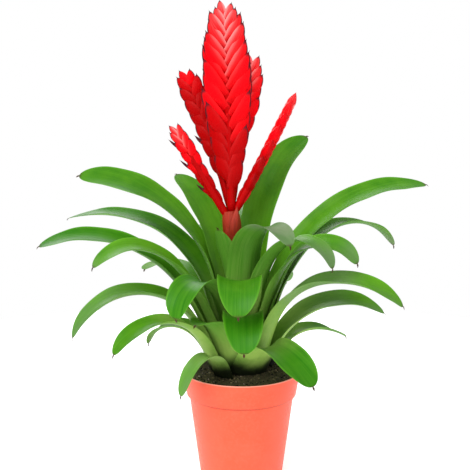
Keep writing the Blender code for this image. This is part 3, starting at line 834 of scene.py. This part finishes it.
class VRIESEA_OT_pot(bpy.types.Operator):
    """Makes the pot: rolled rim band, tapered wall, recessed foot and drain holes."""

    bl_idname = "vriesea.pot"
    bl_label = "Make the pot"

    def execute(self, context):
        settings = context.scene.vriesea_pot
        profile = rounded([
            (0.0, FOOT_RECESS, 0.0),
            (FOOT_RADIUS - FOOT_RING - 0.0007, FOOT_RECESS, 0.0004),
            (FOOT_RADIUS - FOOT_RING, 0.0, 0.0003),
            (FOOT_RADIUS, 0.0, 0.0014),
            (WALL_TOP_RADIUS, RIM_SKIRT_Z, 0.0006),
            (RIM_SKIRT_RADIUS, RIM_SKIRT_Z, 0.0007),
            (RIM_RADIUS, POT_HEIGHT, 0.0009),
            (RIM_RADIUS - WALL, POT_HEIGHT, 0.0007),
            (RIM_SKIRT_RADIUS - WALL, RIM_SKIRT_Z + 0.0025, 0.0006),
            (WALL_TOP_RADIUS - WALL, RIM_SKIRT_Z - 0.001, 0.0006),
            (FOOT_RADIUS - WALL + 0.0003, FLOOR, 0.001),
            (0.0, FLOOR, 0.0),
        ])
        pot = show("pot_blank", turned("pot_blank", profile, settings.segments))
        holes = bmesh.new()
        for k in range(DRAIN_HOLES):
            turn = math.tau * (k + 0.5) / DRAIN_HOLES
            made = bmesh.ops.create_cone(
                holes, cap_ends=True, segments=32, radius1=DRAIN_RADIUS,
                radius2=DRAIN_RADIUS, depth=0.01,
            )
            shift = Vector((DRAIN_CIRCLE * math.cos(turn), DRAIN_CIRCLE * math.sin(turn), 0.001))
            bmesh.ops.translate(holes, verts=made["verts"], vec=shift)
        cutter_mesh = bpy.data.meshes.new("drain_cutter")
        holes.to_mesh(cutter_mesh)
        holes.free()
        cutter = show("drain_cutter", cutter_mesh)
        cut = pot.modifiers.new("drain", "BOOLEAN")
        cut.operation = "DIFFERENCE"
        cut.solver = "EXACT"
        cut.object = cutter
        mesh = finished_mesh(pot, "pot_moulding")
        bpy.data.objects.remove(cutter, do_unlink=True)
        # the dust lies where the rim band's inner face is, inside this slope
        radius = np.array([math.hypot(v.co.x, v.co.y) for v in mesh.vertices])
        height = np.array([v.co.z for v in mesh.vertices])
        taper = RIM_SKIRT_RADIUS + (height - RIM_SKIRT_Z) * 0.1
        inner = (radius < taper - WALL * 0.6) & (height > RIM_SKIRT_Z + 0.0002)
        write_values(mesh, "inside", inner.astype(float))
        piece = publish("pot_moulding", mesh, pot_plastic(settings), "pot")
        piece.data.set_sharp_from_angle(angle=math.radians(SHARP_ANGLE))
        return {"FINISHED"}


def mound_height(radius):
    """Height of the compost at a radius: a mound under the leaf feet, then level."""
    feet = []
    for spec in LEAVES:
        x, y, z = leaf_points(spec, 4, 2)[0][0, 1]
        feet.append((math.hypot(x, y), z - SOIL_UNDER_FEET))
    radii, heights = zip(*sorted(feet))
    heights = np.minimum.accumulate(heights).tolist()
    level_from = (radii[-1] + 0.001,) + MOUND_ENDS
    level = (heights[-1], SOIL_LEVEL + 0.001, SOIL_LEVEL)
    return np.interp(radius, radii + level_from, tuple(heights) + level)


def lumpy(radius, turn, height, lump):
    """Height of the compost's surface with its lumps, none of them under the leaf feet."""
    spot = Vector((radius * math.cos(turn), radius * math.sin(turn), 0.0))
    big = noise.noise(spot * LUMPS_A_METRE[0])
    small = noise.noise(spot * LUMPS_A_METRE[1]) * 0.45
    small += noise.noise(spot * LUMPS_A_METRE[2]) * 0.22
    free = smooth((radius - 0.010) / 0.004) * smooth((SOIL_TOP_RADIUS - radius) / 0.003)
    return height + float(free) * lump * (big + small + 0.6)


class VRIESEA_OT_compost(bpy.types.Operator):
    """Makes the compost: a lumpy filling of the pot with a seat for the stock."""

    bl_idname = "vriesea.compost"
    bl_label = "Make the compost"

    def execute(self, context):
        settings = context.scene.vriesea_compost
        hole = STOCK_RADIUS + SEAT_GAP
        edge = SOIL_TOP_RADIUS
        radii = np.linspace(hole, edge - 0.001, 48)
        tops = list(zip(radii, mound_height(radii)))
        low_wall = FOOT_RADIUS - WALL - SEAT_GAP
        profile = [(0.0, HOLE_FLOOR), (hole, HOLE_FLOOR)] + tops + [
            (edge, SOIL_LEVEL - 0.0005),
            (RIM_SKIRT_RADIUS - WALL - SEAT_GAP - 0.0001, RIM_SKIRT_Z + 0.0030),
            (WALL_TOP_RADIUS - WALL - SEAT_GAP - 0.0001, RIM_SKIRT_Z - 0.0006),
            (low_wall, FLOOR + SEAT_GAP),
            (0.0, FLOOR + SEAT_GAP),
        ]
        mesh = turned("compost_bed", profile, 180)
        for vert in mesh.vertices:
            radius = math.hypot(vert.co.x, vert.co.y)
            if vert.co.z > SOIL_LEVEL - 0.0003:
                turn = math.atan2(vert.co.y, vert.co.x)
                vert.co.z = lumpy(radius, turn, vert.co.z, settings.lump)
        publish("compost_bed", mesh, wet_compost(settings), "soil")
        return {"FINISHED"}


def crumb_tree():
    """Geometry nodes that scatter rough crumbs over a surface."""

    def fill(nodes, given):
        seed = given["Seed"]
        scatter = nodes.add("GeometryNodeDistributePointsOnFaces", {
            "Mesh": given["Geometry"], "Density": given["Density"], "Seed": seed,
        })
        grain = nodes.add("GeometryNodeMeshIcoSphere", {"Radius": 1.0, "Subdivisions": 2})
        spin = nodes.chance_vector((0.0, 0.0, 0.0), (math.tau, math.tau, math.tau), seed)
        shape = nodes.chance_vector(FLATTEST_CRUMB, ROUNDEST_CRUMB, seed)
        rare = nodes.math("POWER", nodes.chance(SIZE_SEED), 2.2)
        share = nodes.plus(nodes.times(rare, 0.78), 0.22)
        size = nodes.scaled(shape, nodes.times(share, given["Size"]))
        placed = nodes.add("GeometryNodeInstanceOnPoints", {
            "Points": scatter["Points"], "Instance": grain["Mesh"], "Rotation": spin, "Scale": size,
        })
        named = nodes.add("GeometryNodeStoreNamedAttribute", {
            "Geometry": placed[0], "Name": "tone", "Value": nodes.chance(TONE_SEED),
        }, data_type="FLOAT", domain="INSTANCE")
        real = nodes.add("GeometryNodeRealizeInstances", {"Geometry": named[0]})
        rough = nodes.add("ShaderNodeTexNoise", {"Scale": 1100.0, "Detail": 1.0})
        centred = nodes.add("ShaderNodeVectorMath", {
            0: rough["Color"], 1: (0.5, 0.5, 0.5),
        }, operation="SUBTRACT")
        push = nodes.scaled(centred[0], nodes.times(given["Size"], given["Roughness"]))
        broken = nodes.add("GeometryNodeSetPosition", {"Geometry": real[0], "Offset": push})
        last = {"Geometry": broken[0], "Material": given["Material"]}
        return nodes.add("GeometryNodeSetMaterial", last)[0]

    inputs = [
        ("Geometry", "Geometry", None),
        ("Density", "Float", 100000.0),
        ("Size", "Float", 0.002),
        ("Roughness", "Float", 0.4),
        ("Seed", "Int", CRUMB_SEED),
        ("Material", "Material", None),
    ]
    output = ("Geometry", "Geometry")
    return shared_tree("Crumbs on a surface", "GeometryNodeTree", inputs, output, fill)


class VRIESEA_OT_crumbs(bpy.types.Operator):
    """Scatters crumbs of bark and a little pale grit over the compost."""

    bl_idname = "vriesea.crumbs"
    bl_label = "Scatter the crumbs"

    def execute(self, context):
        settings = context.scene.vriesea_compost
        radii = np.linspace(0.012, SOIL_TOP_RADIUS - 0.0012, 26)
        turns = np.linspace(0.0, math.tau, 96, endpoint=False)
        rings = np.array([
            [
                (r * math.cos(t), r * math.sin(t), lumpy(r, t, level, settings.lump))
                for t in turns
            ]
            for r, level in zip(radii, mound_height(radii))
        ])
        ground = show("crumb_ground", outward_mesh("crumb_ground", *ring_faces(rings)))
        material = bark_crumbs(settings)
        values = {
            "Density": settings.density,
            "Size": settings.crumb,
            "Roughness": 0.35,
            "Seed": CRUMB_SEED,
            "Material": material,
        }
        mesh = run_tree(ground, crumb_tree(), values, "bark_crumbs")
        publish("bark_crumbs", mesh, material, None)
        return {"FINISHED"}


def slope_along(share, slopes):
    """Slope of the midrib in degrees, a smooth curve through its four stations."""
    stations = (0.0, 0.3, 0.65, 1.0)
    rates = [(slopes[k + 1] - slopes[k]) / (stations[k + 1] - stations[k]) for k in range(3)]
    bends = (rates[0], (rates[0] + rates[1]) / 2, (rates[1] + rates[2]) / 2, rates[2])
    out = np.zeros_like(share)
    for k in range(3):
        reach = stations[k + 1] - stations[k]
        inside = (share >= stations[k] - 1e-9) & (share <= stations[k + 1] + 1e-9)
        t = (share[inside] - stations[k]) / reach
        start = (2 * t**3 - 3 * t**2 + 1) * slopes[k]
        start = start + (t**3 - 2 * t**2 + t) * reach * bends[k]
        finish = (3 * t**2 - 2 * t**3) * slopes[k + 1]
        finish = finish + (t**3 - t**2) * reach * bends[k + 1]
        out[inside] = start + finish
    return out


def blade_outline(share):
    """Share of the full breadth along the blade: a strap with a blunt, rounded tip."""
    t = np.clip((share - TIP_FROM) / (1.0 - TIP_FROM), 0.0, 1.0)
    return np.sqrt(np.clip(1.0 - t**2.8, 0.0, 1.0)) * (1.0 - 0.16 * t)


def leaf_points(spec, rows, columns):
    """Points of a leaf's middle surface, and each point's place across and along, in metres."""
    azimuth, layer, length, slopes, sway, width, twist, cup = spec
    length = length / 1000.0
    width = width / 1000.0
    fine = 4000
    share = np.linspace(0.0, 1.0, fine + 1)
    slope = np.radians(slope_along(share, (STEEPEST - LAYER_LEAN * layer,) + slopes))
    heading = np.radians(azimuth + sway * smooth((share - 0.1) / 0.9))
    level = np.cos(slope)
    along = np.stack([level * np.cos(heading), level * np.sin(heading), np.sin(slope)], -1)
    foot_radius = FIRST_LAYER_RADIUS + LAYER_STEP * (layer - 1)
    start = np.array([
        foot_radius * math.cos(math.radians(azimuth)),
        foot_radius * math.sin(math.radians(azimuth)),
        LEAF_FOOT_Z - FOOT_DROP * layer,
    ])
    steps = (along[1:] + along[:-1]) / 2 * length / fine
    path = start + np.vstack([np.zeros(3), np.cumsum(steps, 0)])
    even = np.linspace(0.0, 1.0, rows + 1)
    trim = FOOT_TRIM / length
    pick = np.round(fine * (1.0 - (1.0 - trim) * (1.0 - even) ** 1.6)).astype(int)
    share, slope, heading, along, path = (
        part[pick] for part in (share, slope, heading, along, path)
    )
    side = np.stack([-np.sin(heading), np.cos(heading), np.zeros_like(heading)], -1)
    upper = np.cross(along, side)
    turn = np.interp(share, [0.0, 0.15, 0.5, 1.0], [0.0, 0.0, twist[0], twist[1]])
    turn = np.radians(turn)[:, None]
    across = side * np.cos(turn) - upper * np.sin(turn)
    facing = upper * np.cos(turn) + side * np.sin(turn)
    radius = np.maximum(np.hypot(path[:, 0], path[:, 1]), LEAST_RADIUS)
    travelled = share * length
    half = width / 2 * blade_outline(share)
    flare = width / 2 * (1.0 + 0.12 * (1.0 - smooth(travelled / 0.08)))
    wrap = math.radians(SHEATH_HALF_ANGLE) * radius / np.maximum(np.sin(slope), 0.5)
    near = np.minimum(np.maximum(half, flare * blade_outline(share)), wrap)
    half = np.where(travelled < SHEATH_LENGTH, near, half)
    release = smooth(travelled / SHEATH_LENGTH)
    half = np.minimum(half, wrap * (1.0 - release) + release)
    half = np.maximum(half, TIP_HALF_WIDTH)
    hug = np.maximum(np.sin(slope), 0.2) / radius
    gutter = cup / (0.60 * width) * (1.0 - 0.45 * smooth((share - 0.4) / 0.6))
    mixed = smooth((travelled - 0.01) / 0.06)
    curve = hug * (1.0 - mixed) + np.maximum(gutter, np.sin(slope) / radius) * mixed
    place_across = np.sin(np.linspace(-1.0, 1.0, columns + 1) * math.pi / 2)
    angle = (half * curve)[:, None] * place_across[None, :]
    sideways = (np.sin(angle) / curve[:, None])[..., None]
    lift = ((1.0 - np.cos(angle)) / curve[:, None])[..., None]
    points = path[:, None, :] + across[:, None, :] * sideways + facing[:, None, :] * lift
    return points, half[:, None] * place_across[None, :], travelled


def unit(vectors):
    return vectors / np.linalg.norm(vectors, axis=-1, keepdims=True)


def curled_point(points, half, travelled):
    """Rows that carry a blade on into its short dry point, curled under."""
    middle = points.shape[1] // 2
    along = unit(points[-1, middle] - points[-3, middle])
    across = unit(points[-3, -1] - points[-3, 0])
    down = -unit(np.cross(along, across))
    spot = points[-1, middle]
    place = half[-1] / half[-1, -1]
    rows, widths, lengths = [], [], []
    for k in range(1, POINT_ROWS + 1):
        share = k / POINT_ROWS
        bend = math.radians(POINT_CURL) * share
        spot = spot + (along * math.cos(bend) + down * math.sin(bend)) * POINT_LENGTH / POINT_ROWS
        swell = POINT_HALF_WIDTH * math.sin(math.pi * min(1.0, 0.30 + 0.66 * share))
        wide = max(TIP_HALF_WIDTH * (1.0 - 0.6 * share), swell)
        rows.append(spot + across[None, :] * (place * wide)[:, None])
        widths.append(place * wide)
        lengths.append(travelled[-1] + POINT_LENGTH * share)
    points = np.concatenate([points, np.array(rows)])
    half = np.concatenate([half, np.array(widths)])
    return points, half, np.concatenate([travelled, lengths])


def blade_mesh(name, number, spec, settings):
    """A closed blade over the leaf's middle surface, thin at its margins."""
    points, half, travelled = leaf_points(spec, settings.rows, settings.columns)
    length = travelled[-1]
    points, half, travelled = curled_point(points, half, travelled)
    share = travelled / length
    place = half / half[:, -1:]
    along = np.gradient(points, axis=0)
    across = np.gradient(points, axis=1)
    normal = unit(np.cross(along, across))
    chance = np.random.default_rng(LEAF_SEED + number)
    beats = chance.uniform(3.0, 5.0, 2) * length / 0.25
    starts = chance.uniform(0.0, math.tau, 2)
    calm = smooth((travelled - 0.06) / 0.06) * smooth((1.02 - share) / 0.15)
    left = np.sin(share * beats[0] * math.tau + starts[0])[:, None] * (place < 0)
    right = np.sin(share * beats[1] * math.tau + starts[1])[:, None] * (place > 0)
    wave = settings.wave * calm[:, None] * (left + right) * np.abs(place) ** 3
    points = points + normal * wave[..., None]
    body = settings.thickness / 2 * (1.0 - 0.74 * np.abs(place) ** 10)
    body = body * (1.0 - 0.45 * smooth((share - 0.75) / 0.25))[:, None]
    body = np.minimum(body, np.maximum(half[:, -1:] * 0.8, 0.0001))
    upper = points + normal * body[..., None]
    lower = points - normal * body[..., None]
    ring = np.concatenate([upper, lower[:, ::-1]], axis=1)
    count = ring.shape[1]
    mesh = outward_mesh(name, *closed_loft(ring))
    both = np.concatenate([half, half[:, ::-1]], axis=1)
    shares = np.repeat(share[:, None], count, axis=1)
    edge = np.abs(np.concatenate([place, place[:, ::-1]], axis=1))
    beneath = np.concatenate([np.zeros_like(place), np.ones_like(place)], axis=1)
    along = np.repeat(travelled[:, None], count, axis=1)
    write_map(mesh, "blade", both + number * MAP_STEP, along)
    tone = LEAF_TONES.get(number, chance.uniform(0.05, 0.45))
    begins, ends, strength = DUST_AND_SHEEN_PARTS.get(number, (2.0, 2.0, 0.0))
    values = {
        "under": beneath,
        # the margins: partly their own paler green, partly a painted highlight
        "rim": smooth((edge - 0.86) / 0.14),
        "tone": np.full(edge.shape, tone),
        "sheath": smooth((min(0.150, 0.78 * length) - along) / min(0.100, 0.42 * length)),
        "point": smooth((shares - 0.985) / 0.02),
        "dusty": smooth((shares - begins) / 0.12) * smooth((ends - shares) / 0.12) * strength,
    }
    for key, numbers in values.items():
        write_values(mesh, key, numbers)
    return mesh


class VRIESEA_OT_leaves(bpy.types.Operator):
    """Makes the thirty leaves, each a closed blade with a curled dry point."""

    bl_idname = "vriesea.leaves"
    bl_label = "Make the leaves"

    def execute(self, context):
        settings = context.scene.vriesea_leaves
        material = glossy_leaf(settings)
        for number, spec in enumerate(LEAVES, 1):
            name = "blade_%02d" % number
            mesh = blade_mesh(name, number, spec, settings)
            publish(name, mesh, material, "leaf_%02d" % number)
        return {"FINISHED"}


def stem_tree():
    """Geometry nodes that sweep a round stem along a curve, as thick as its radius says."""

    def fill(nodes, given):
        path = nodes.add("GeometryNodeResampleCurve", {
            "Curve": given["Geometry"], "Length": given["Step"],
        }, mode="LENGTH")
        ring = nodes.add("GeometryNodeCurvePrimitiveCircle", {
            "Resolution": given["Sides"], "Radius": 1.0,
        })
        swept = nodes.add("GeometryNodeCurveToMesh", {
            "Curve": path[0], "Profile Curve": ring[0],
            "Scale": nodes.add("GeometryNodeInputRadius")[0], "Fill Caps": True,
        })
        real = nodes.add("GeometryNodeRealizeInstances", {"Geometry": swept[0]})
        last = {"Geometry": real[0], "Material": given["Material"]}
        return nodes.add("GeometryNodeSetMaterial", last)[0]

    inputs = [
        ("Geometry", "Geometry", None),
        ("Sides", "Int", 24),
        ("Step", "Float", 0.002),
        ("Material", "Material", None),
    ]
    output = ("Geometry", "Geometry")
    return shared_tree("Stem along a curve", "GeometryNodeTree", inputs, output, fill)


def swept_stem(name, path, radii, sides, material):
    """A closed round stem through the path's points."""
    curve = bpy.data.curves.new(name, "CURVE")
    curve.dimensions = "3D"
    spline = curve.splines.new("NURBS")
    spline.points.add(len(path) - 1)
    for point, place, radius in zip(spline.points, path, radii):
        point.co = (*place, 1.0)
        point.radius = radius
    spline.use_endpoint_u = True
    spline.order_u = 3
    spline.resolution_u = 8
    values = {"Sides": sides, "Step": STEM_STEP, "Material": material}
    return run_tree(show(name, curve), stem_tree(), values, name)


def scape_path():
    """The scape's axis and radii, as its profile says."""
    path, radii = [], []
    for height, radius in SCAPE_PROFILE:
        rise = max(0.0, height - SCAPE_STRAIGHT_TO)
        lean = SCAPE_LEAN * min(rise / 0.175, 1.3) ** 1.3
        forward = SCAPE_FORWARD * rise
        path.append((lean, forward, height))
        radii.append(radius)
    return path, radii


class VRIESEA_OT_scape(bpy.types.Operator):
    """Makes the scape, the flower's round stalk that rises from the compost."""

    bl_idname = "vriesea.scape"
    bl_label = "Make the scape"

    def execute(self, context):
        settings = context.scene.vriesea_flower
        material = brown_stem(settings)
        path, radii = scape_path()
        mesh = swept_stem("scape_stalk", path, radii, settings.stem_sides, material)
        publish("scape_stalk", mesh, material, "scape")
        mesh = self.scales(np.array(path), np.array(radii))
        publish("scape_scales", mesh, material, None)
        return {"FINISHED"}

    def scales(self, path, radii):
        """Pointed scales that hug the scape and stand up a little over its end."""
        bunch = Bunch()
        for azimuth, height, rise, breadth in SCALES:
            turn = math.radians(azimuth)
            fan = np.array((math.cos(turn), math.sin(turn), 0.0))
            face = np.array((-math.sin(turn), math.cos(turn), 0.0))
            axis = np.array([np.interp(height, path[:, 2], path[:, k]) for k in range(3)])
            radius = float(np.interp(height, path[:, 2], radii))
            here = axis + fan * (radius - SCALE_DEPTH * 0.48)
            place = (here, np.array((0.0, 0.0, 1.0)), fan, face)
            scale = bract_loft(place, SCALE_REACH, rise / 1000.0, SCALE_DEPTH, breadth / 1000.0)
            bunch.add(scale, 0.0, 0.5)
        return bunch.mesh("scape_scales")


def spike_axis(foot, head, bow, share):
    """Point on a spike's gently bowed axis, in metres."""
    foot = Vector(foot) / 1000.0
    head = Vector(head) / 1000.0
    chord = head - foot
    sideways = Vector((chord.z, 0.0, -chord.x)).normalized()
    return foot + chord * share + sideways * (bow / 1000.0 * 4.0 * share * (1.0 - share))


def spike_frame(spec, share):
    """Place, direction, fan direction and flat-face direction at a share of the axis."""
    _, foot, head, bow, look = spec[:5]
    here = spike_axis(foot, head, bow, share)
    ahead = spike_axis(foot, head, bow, share + 0.01)
    along = (ahead - here).normalized()
    look_turn = math.radians(look)
    face = Vector((math.cos(look_turn), math.sin(look_turn), 0.0))
    face = (face - along * face.dot(along)).normalized()
    fan = along.cross(face).normalized()
    return here, along, fan, face


def bract_loft(place, reach, rise, half_breadth, half_thickness):
    """One keeled, boat-shaped bract: its rings, each one's share, its values, its length."""
    here, along, fan, face = (np.array(part) for part in place)
    length = math.hypot(reach, rise)
    lean = math.atan2(reach, rise)
    share = BRACT_REACH * (1.0 - (1.0 - np.linspace(0.0, 1.0, BRACT_ROWS)) ** 1.25)
    bend = (lean * np.interp(share, BRACT_TURN_AT, BRACT_TURN))[:, None]
    direction = along * np.cos(bend) + fan * np.sin(bend)
    steps = (direction[1:] + direction[:-1]) / 2 * (np.diff(share) * length)[:, None]
    path = here - along * BRACT_FOOT + np.vstack([np.zeros(3), np.cumsum(steps, 0)])
    outward = fan * np.cos(bend) - along * np.sin(bend)
    opened = smooth(share / BRACT_WIDEST)
    narrow = np.clip((share - BRACT_WIDEST) / (1.0 - BRACT_WIDEST), 0.0, 1.0)
    wide = (0.60 + 0.40 * opened) * (1.0 - 0.93 * narrow**2.95)
    thick = (0.80 + 0.20 * opened) * (1.0 - 0.90 * narrow**1.76)
    beyond = np.clip((BRACT_REACH - share) / 0.07, 0.12, 1.0)
    wide = np.maximum(wide, 0.07) * beyond * half_breadth
    thick = np.maximum(thick, 0.09) * beyond * half_thickness
    one_side = np.array(BRACT_SECTION)
    other_side = one_side[:0:-1] * (1.0, -1.0, 1.0)
    section = np.vstack([one_side, other_side])
    out = outward[:, None, :] * (wide[:, None] * section[None, :, 0])[..., None]
    off = face[None, None, :] * (thick[:, None] * section[None, :, 1])[..., None]
    edge, rim = (np.repeat(section[None, :, k], len(share), axis=0) for k in (0, 2))
    return path[:, None, :] + out + off, share, rim, edge, length


class Bunch:
    """Collects closed lofts and their values until they become one mesh."""

    def __init__(self):
        self.corners = []
        self.faces = []
        self.values = {"height": [], "tone": [], "rim": [], "tip": [], "share": []}
        self.across = []
        self.along = []

    def add(self, loft, height, tone, darkness=1.0, clear=TIP_CLEAR):
        """Takes in a loft: its rings, each one's share, its rim and edge values, its length."""
        rings, share, rim, edge, length = loft
        corners, faces = closed_loft(rings)
        start = len(self.corners)
        self.corners += corners
        self.faces += [[start + k for k in face] for face in faces]
        shares = np.repeat(share[:, None], rings.shape[1], axis=1)
        self.values["height"] += [height] * len(corners)
        self.values["tone"] += [tone] * len(corners)
        self.values["rim"] += (rim * smooth((1.02 - shares) / 0.3)).ravel().tolist()
        dark = smooth((shares - clear) / 0.12)
        keel = smooth((shares - clear + 0.26) / 0.14) * smooth((edge - 0.62) / 0.22)
        self.values["tip"] += (darkness * np.maximum(dark, keel)).ravel().tolist()
        self.values["share"] += shares.ravel().tolist()
        self.across += (edge * 0.007 + tone).ravel().tolist()
        self.along += (shares * length).ravel().tolist()

    def mesh(self, name):
        made = outward_mesh(name, self.corners, self.faces)
        for key, values in self.values.items():
            write_values(made, key, values)
        write_map(made, "bract", self.across, self.along)
        return made


def stem_loft(spec, foot_radius):
    """The spike's own stem, as a loft for a bunch."""
    share = np.linspace(0.0, 1.0, 24)
    radii = np.interp(share, SPIKE_STEM_AT, (foot_radius,) + SPIKE_STEM_RADII)
    turns = np.linspace(0.0, math.tau, 12, endpoint=False)
    rings = []
    for part, radius in zip(share, radii):
        here, _, fan, face = spike_frame(spec, float(part))
        rings.append([
            here + (fan * math.cos(t) + face * math.sin(t)) * float(radius) for t in turns
        ])
    rings = np.array(rings)
    plain = np.zeros(rings.shape[:2])
    return rings, share * 0.9, plain, plain, 0.2


class VRIESEA_OT_spikes(bpy.types.Operator):
    """Makes the five spikes: two rows of overlapping keeled bracts on each stem."""

    bl_idname = "vriesea.spikes"
    bl_label = "Make the spikes"

    def execute(self, context):
        material = red_bract(context.scene.vriesea_flower)
        chance = np.random.default_rng(BRACT_SEED)
        for number, spec in enumerate(SPIKES):
            self.make_spike(number, spec, material, chance)
        return {"FINISHED"}

    def make_spike(self, number, spec, material, chance):
        name, _, _, _, _, count, begin, reaches, rises, breadth, thickness = spec
        bunch = Bunch()
        darkness = TIP_DARKNESS.get(name, 1.0)
        foot_radius = MAIN_FOOT_RADIUS if number == 0 else SIDE_FOOT_RADIUS
        bunch.add(stem_loft(spec, foot_radius), 0.0, 0.1)
        wanted = []
        for k in range(count):
            for side in (1, -1):
                order = (k + (0.5 if side < 0 else 0.0)) / (count - 0.5)
                place = begin + (0.97 - begin) * (1.0 - (1.0 - order) ** 1.2)
                reach = float(np.interp(order, REACH_STATIONS, reaches))
                rise = float(np.interp(order, (0.0, 0.5, 1.0), rises))
                size = math.hypot(reach, rise) / max(rises)
                wide = breadth * min(1.0, 0.25 + 0.75 * size)
                thick = thickness * min(1.0, 0.35 + 0.65 * size)
                wanted.append((place, side, (reach, rise, wide, thick), order, TIP_CLEAR))
        wide, thick = breadth * LOOSE_SHARE, thickness * LOOSE_SHARE
        for place, side, reach, rise in LOOSE_BRACTS.get(name, ()):
            wanted.append((place, side, (reach, rise, wide, thick), place, LOOSE_TIP_CLEAR))
        for place, side, sizes, order, clear in wanted:
            reach, rise, wide, thick = (part / 1000.0 for part in sizes)
            here, along, fan, face = spike_frame(spec, place)
            reach = reach * chance.uniform(0.93, 1.05)
            rise = rise * chance.uniform(0.93, 1.07)
            lean = chance.uniform(-BRACT_LEAN, BRACT_LEAN)
            here = here + along * chance.uniform(-BRACT_SHIFT, BRACT_SHIFT)
            fan, face = fan + face * lean, face - fan * lean
            bract = bract_loft((here, along, fan * side, face), reach, rise, wide, thick)
            tone = chance.uniform(0.0, 1.0)
            # painted shade: bracts of the spikes behind, and low on a spike's left side, take a
            # deeper red
            shade = SPIKE_SHADE_SHIFT[name] - (SIDE_SHADE * (1.0 - order) if side < 0 else 0.0)
            bunch.add(bract, order + shade, tone, darkness, clear)
        mesh = bunch.mesh(name + "_bracts")
        publish(name + "_bracts", mesh, material, name)


class VRIESEA_OT_stage(bpy.types.Operator):
    """Makes the pale floor, the soft light and the photograph's view."""

    bl_idname = "vriesea.stage"
    bl_label = "Set the stage"

    def execute(self, context):
        settings = context.scene.vriesea_stage
        scene = context.scene
        scene.view_settings.view_transform = "Standard"
        camera_data = bpy.data.cameras.new("photo_view")
        camera_data.sensor_width = SENSOR
        camera_data.lens = VIEW_FOCAL_PIXELS / VIEW_PIXELS * SENSOR
        camera = show("photo_view", camera_data)
        camera.location = VIEW_FROM
        pitch = math.atan2(VIEW_FROM[2] - VIEW_AIM_Z, -VIEW_FROM[1])
        camera.rotation_euler = (math.pi / 2 - pitch, 0.0, 0.0)
        scene.camera = camera
        disc = bmesh.new()
        bmesh.ops.create_circle(disc, cap_ends=True, segments=96, radius=settings.floor_radius)
        floor_mesh = bpy.data.meshes.new("floor")
        disc.to_mesh(floor_mesh)
        disc.free()
        floor_mesh.materials.append(studio_paper())
        show("floor", floor_mesh)
        for name, spread, turn in LIGHTS:
            sun = bpy.data.lights.new(name + "_light", "SUN")
            sun.energy = getattr(settings, name)
            sun.angle = math.radians(spread)
            lamp = show(name + "_light", sun)
            lamp.rotation_euler = tuple(math.radians(part) for part in turn)
            lamp.location = (0.0, 0.0, LAMP_HEIGHT)
        world = bpy.data.worlds.new("white_room")
        world.use_nodes = True
        nodes = Nodes(world.node_tree)
        seen = nodes.add("ShaderNodeLightPath")["Is Camera Ray"]
        strength = nodes.ease(seen, 0.0, 1.0, settings.sky, 1.0)
        background = world.node_tree.nodes["Background"].inputs
        nodes.feed(background, {"Color": WHITE, "Strength": strength})
        scene.world = world
        return {"FINISHED"}


class VRIESEA_PT_panel(bpy.types.Panel):
    """Lists the settings and the makers of every part in the 3D view's sidebar."""

    bl_idname = "VRIESEA_PT_panel"
    bl_label = "Potted vriesea"
    bl_space_type = "VIEW_3D"
    bl_region_type = "UI"
    bl_category = "Vriesea"

    def draw(self, context):
        layout = self.layout
        for label, group, _, makers in PARTS:
            box = layout.box()
            box.label(text=label)
            settings = getattr(context.scene, group)
            for name in settings.bl_rna.properties.keys():
                if name not in ("rna_type", "name"):
                    box.prop(settings, name)
            for maker in makers:
                box.operator(maker.bl_idname)


# label, name of the settings, their class, the operators that they steer
PARTS = [
    ("Pot", "vriesea_pot", PotSettings, (VRIESEA_OT_pot,)),
    ("Compost", "vriesea_compost", CompostSettings, (VRIESEA_OT_compost, VRIESEA_OT_crumbs)),
    ("Leaves", "vriesea_leaves", LeafSettings, (VRIESEA_OT_leaves,)),
    ("Flower", "vriesea_flower", FlowerSettings, (VRIESEA_OT_scape, VRIESEA_OT_spikes)),
    ("Stage", "vriesea_stage", StageSettings, (VRIESEA_OT_stage,)),
]


def register():
    for _, name, kind, makers in PARTS:
        bpy.utils.register_class(kind)
        setattr(bpy.types.Scene, name, bpy.props.PointerProperty(type=kind))
        for maker in makers:
            bpy.utils.register_class(maker)
    bpy.utils.register_class(VRIESEA_PT_panel)


def unregister():
    bpy.utils.unregister_class(VRIESEA_PT_panel)
    for _, name, kind, makers in PARTS[::-1]:
        for maker in makers[::-1]:
            bpy.utils.unregister_class(maker)
        delattr(bpy.types.Scene, name)
        bpy.utils.unregister_class(kind)


def main():
    register()
    bpy.ops.vriesea.stage()
    bpy.ops.vriesea.pot()
    bpy.ops.vriesea.compost()
    bpy.ops.vriesea.crumbs()
    bpy.ops.vriesea.scape()
    bpy.ops.vriesea.spikes()
    bpy.ops.vriesea.leaves()


if __name__ == "__main__":
    main()
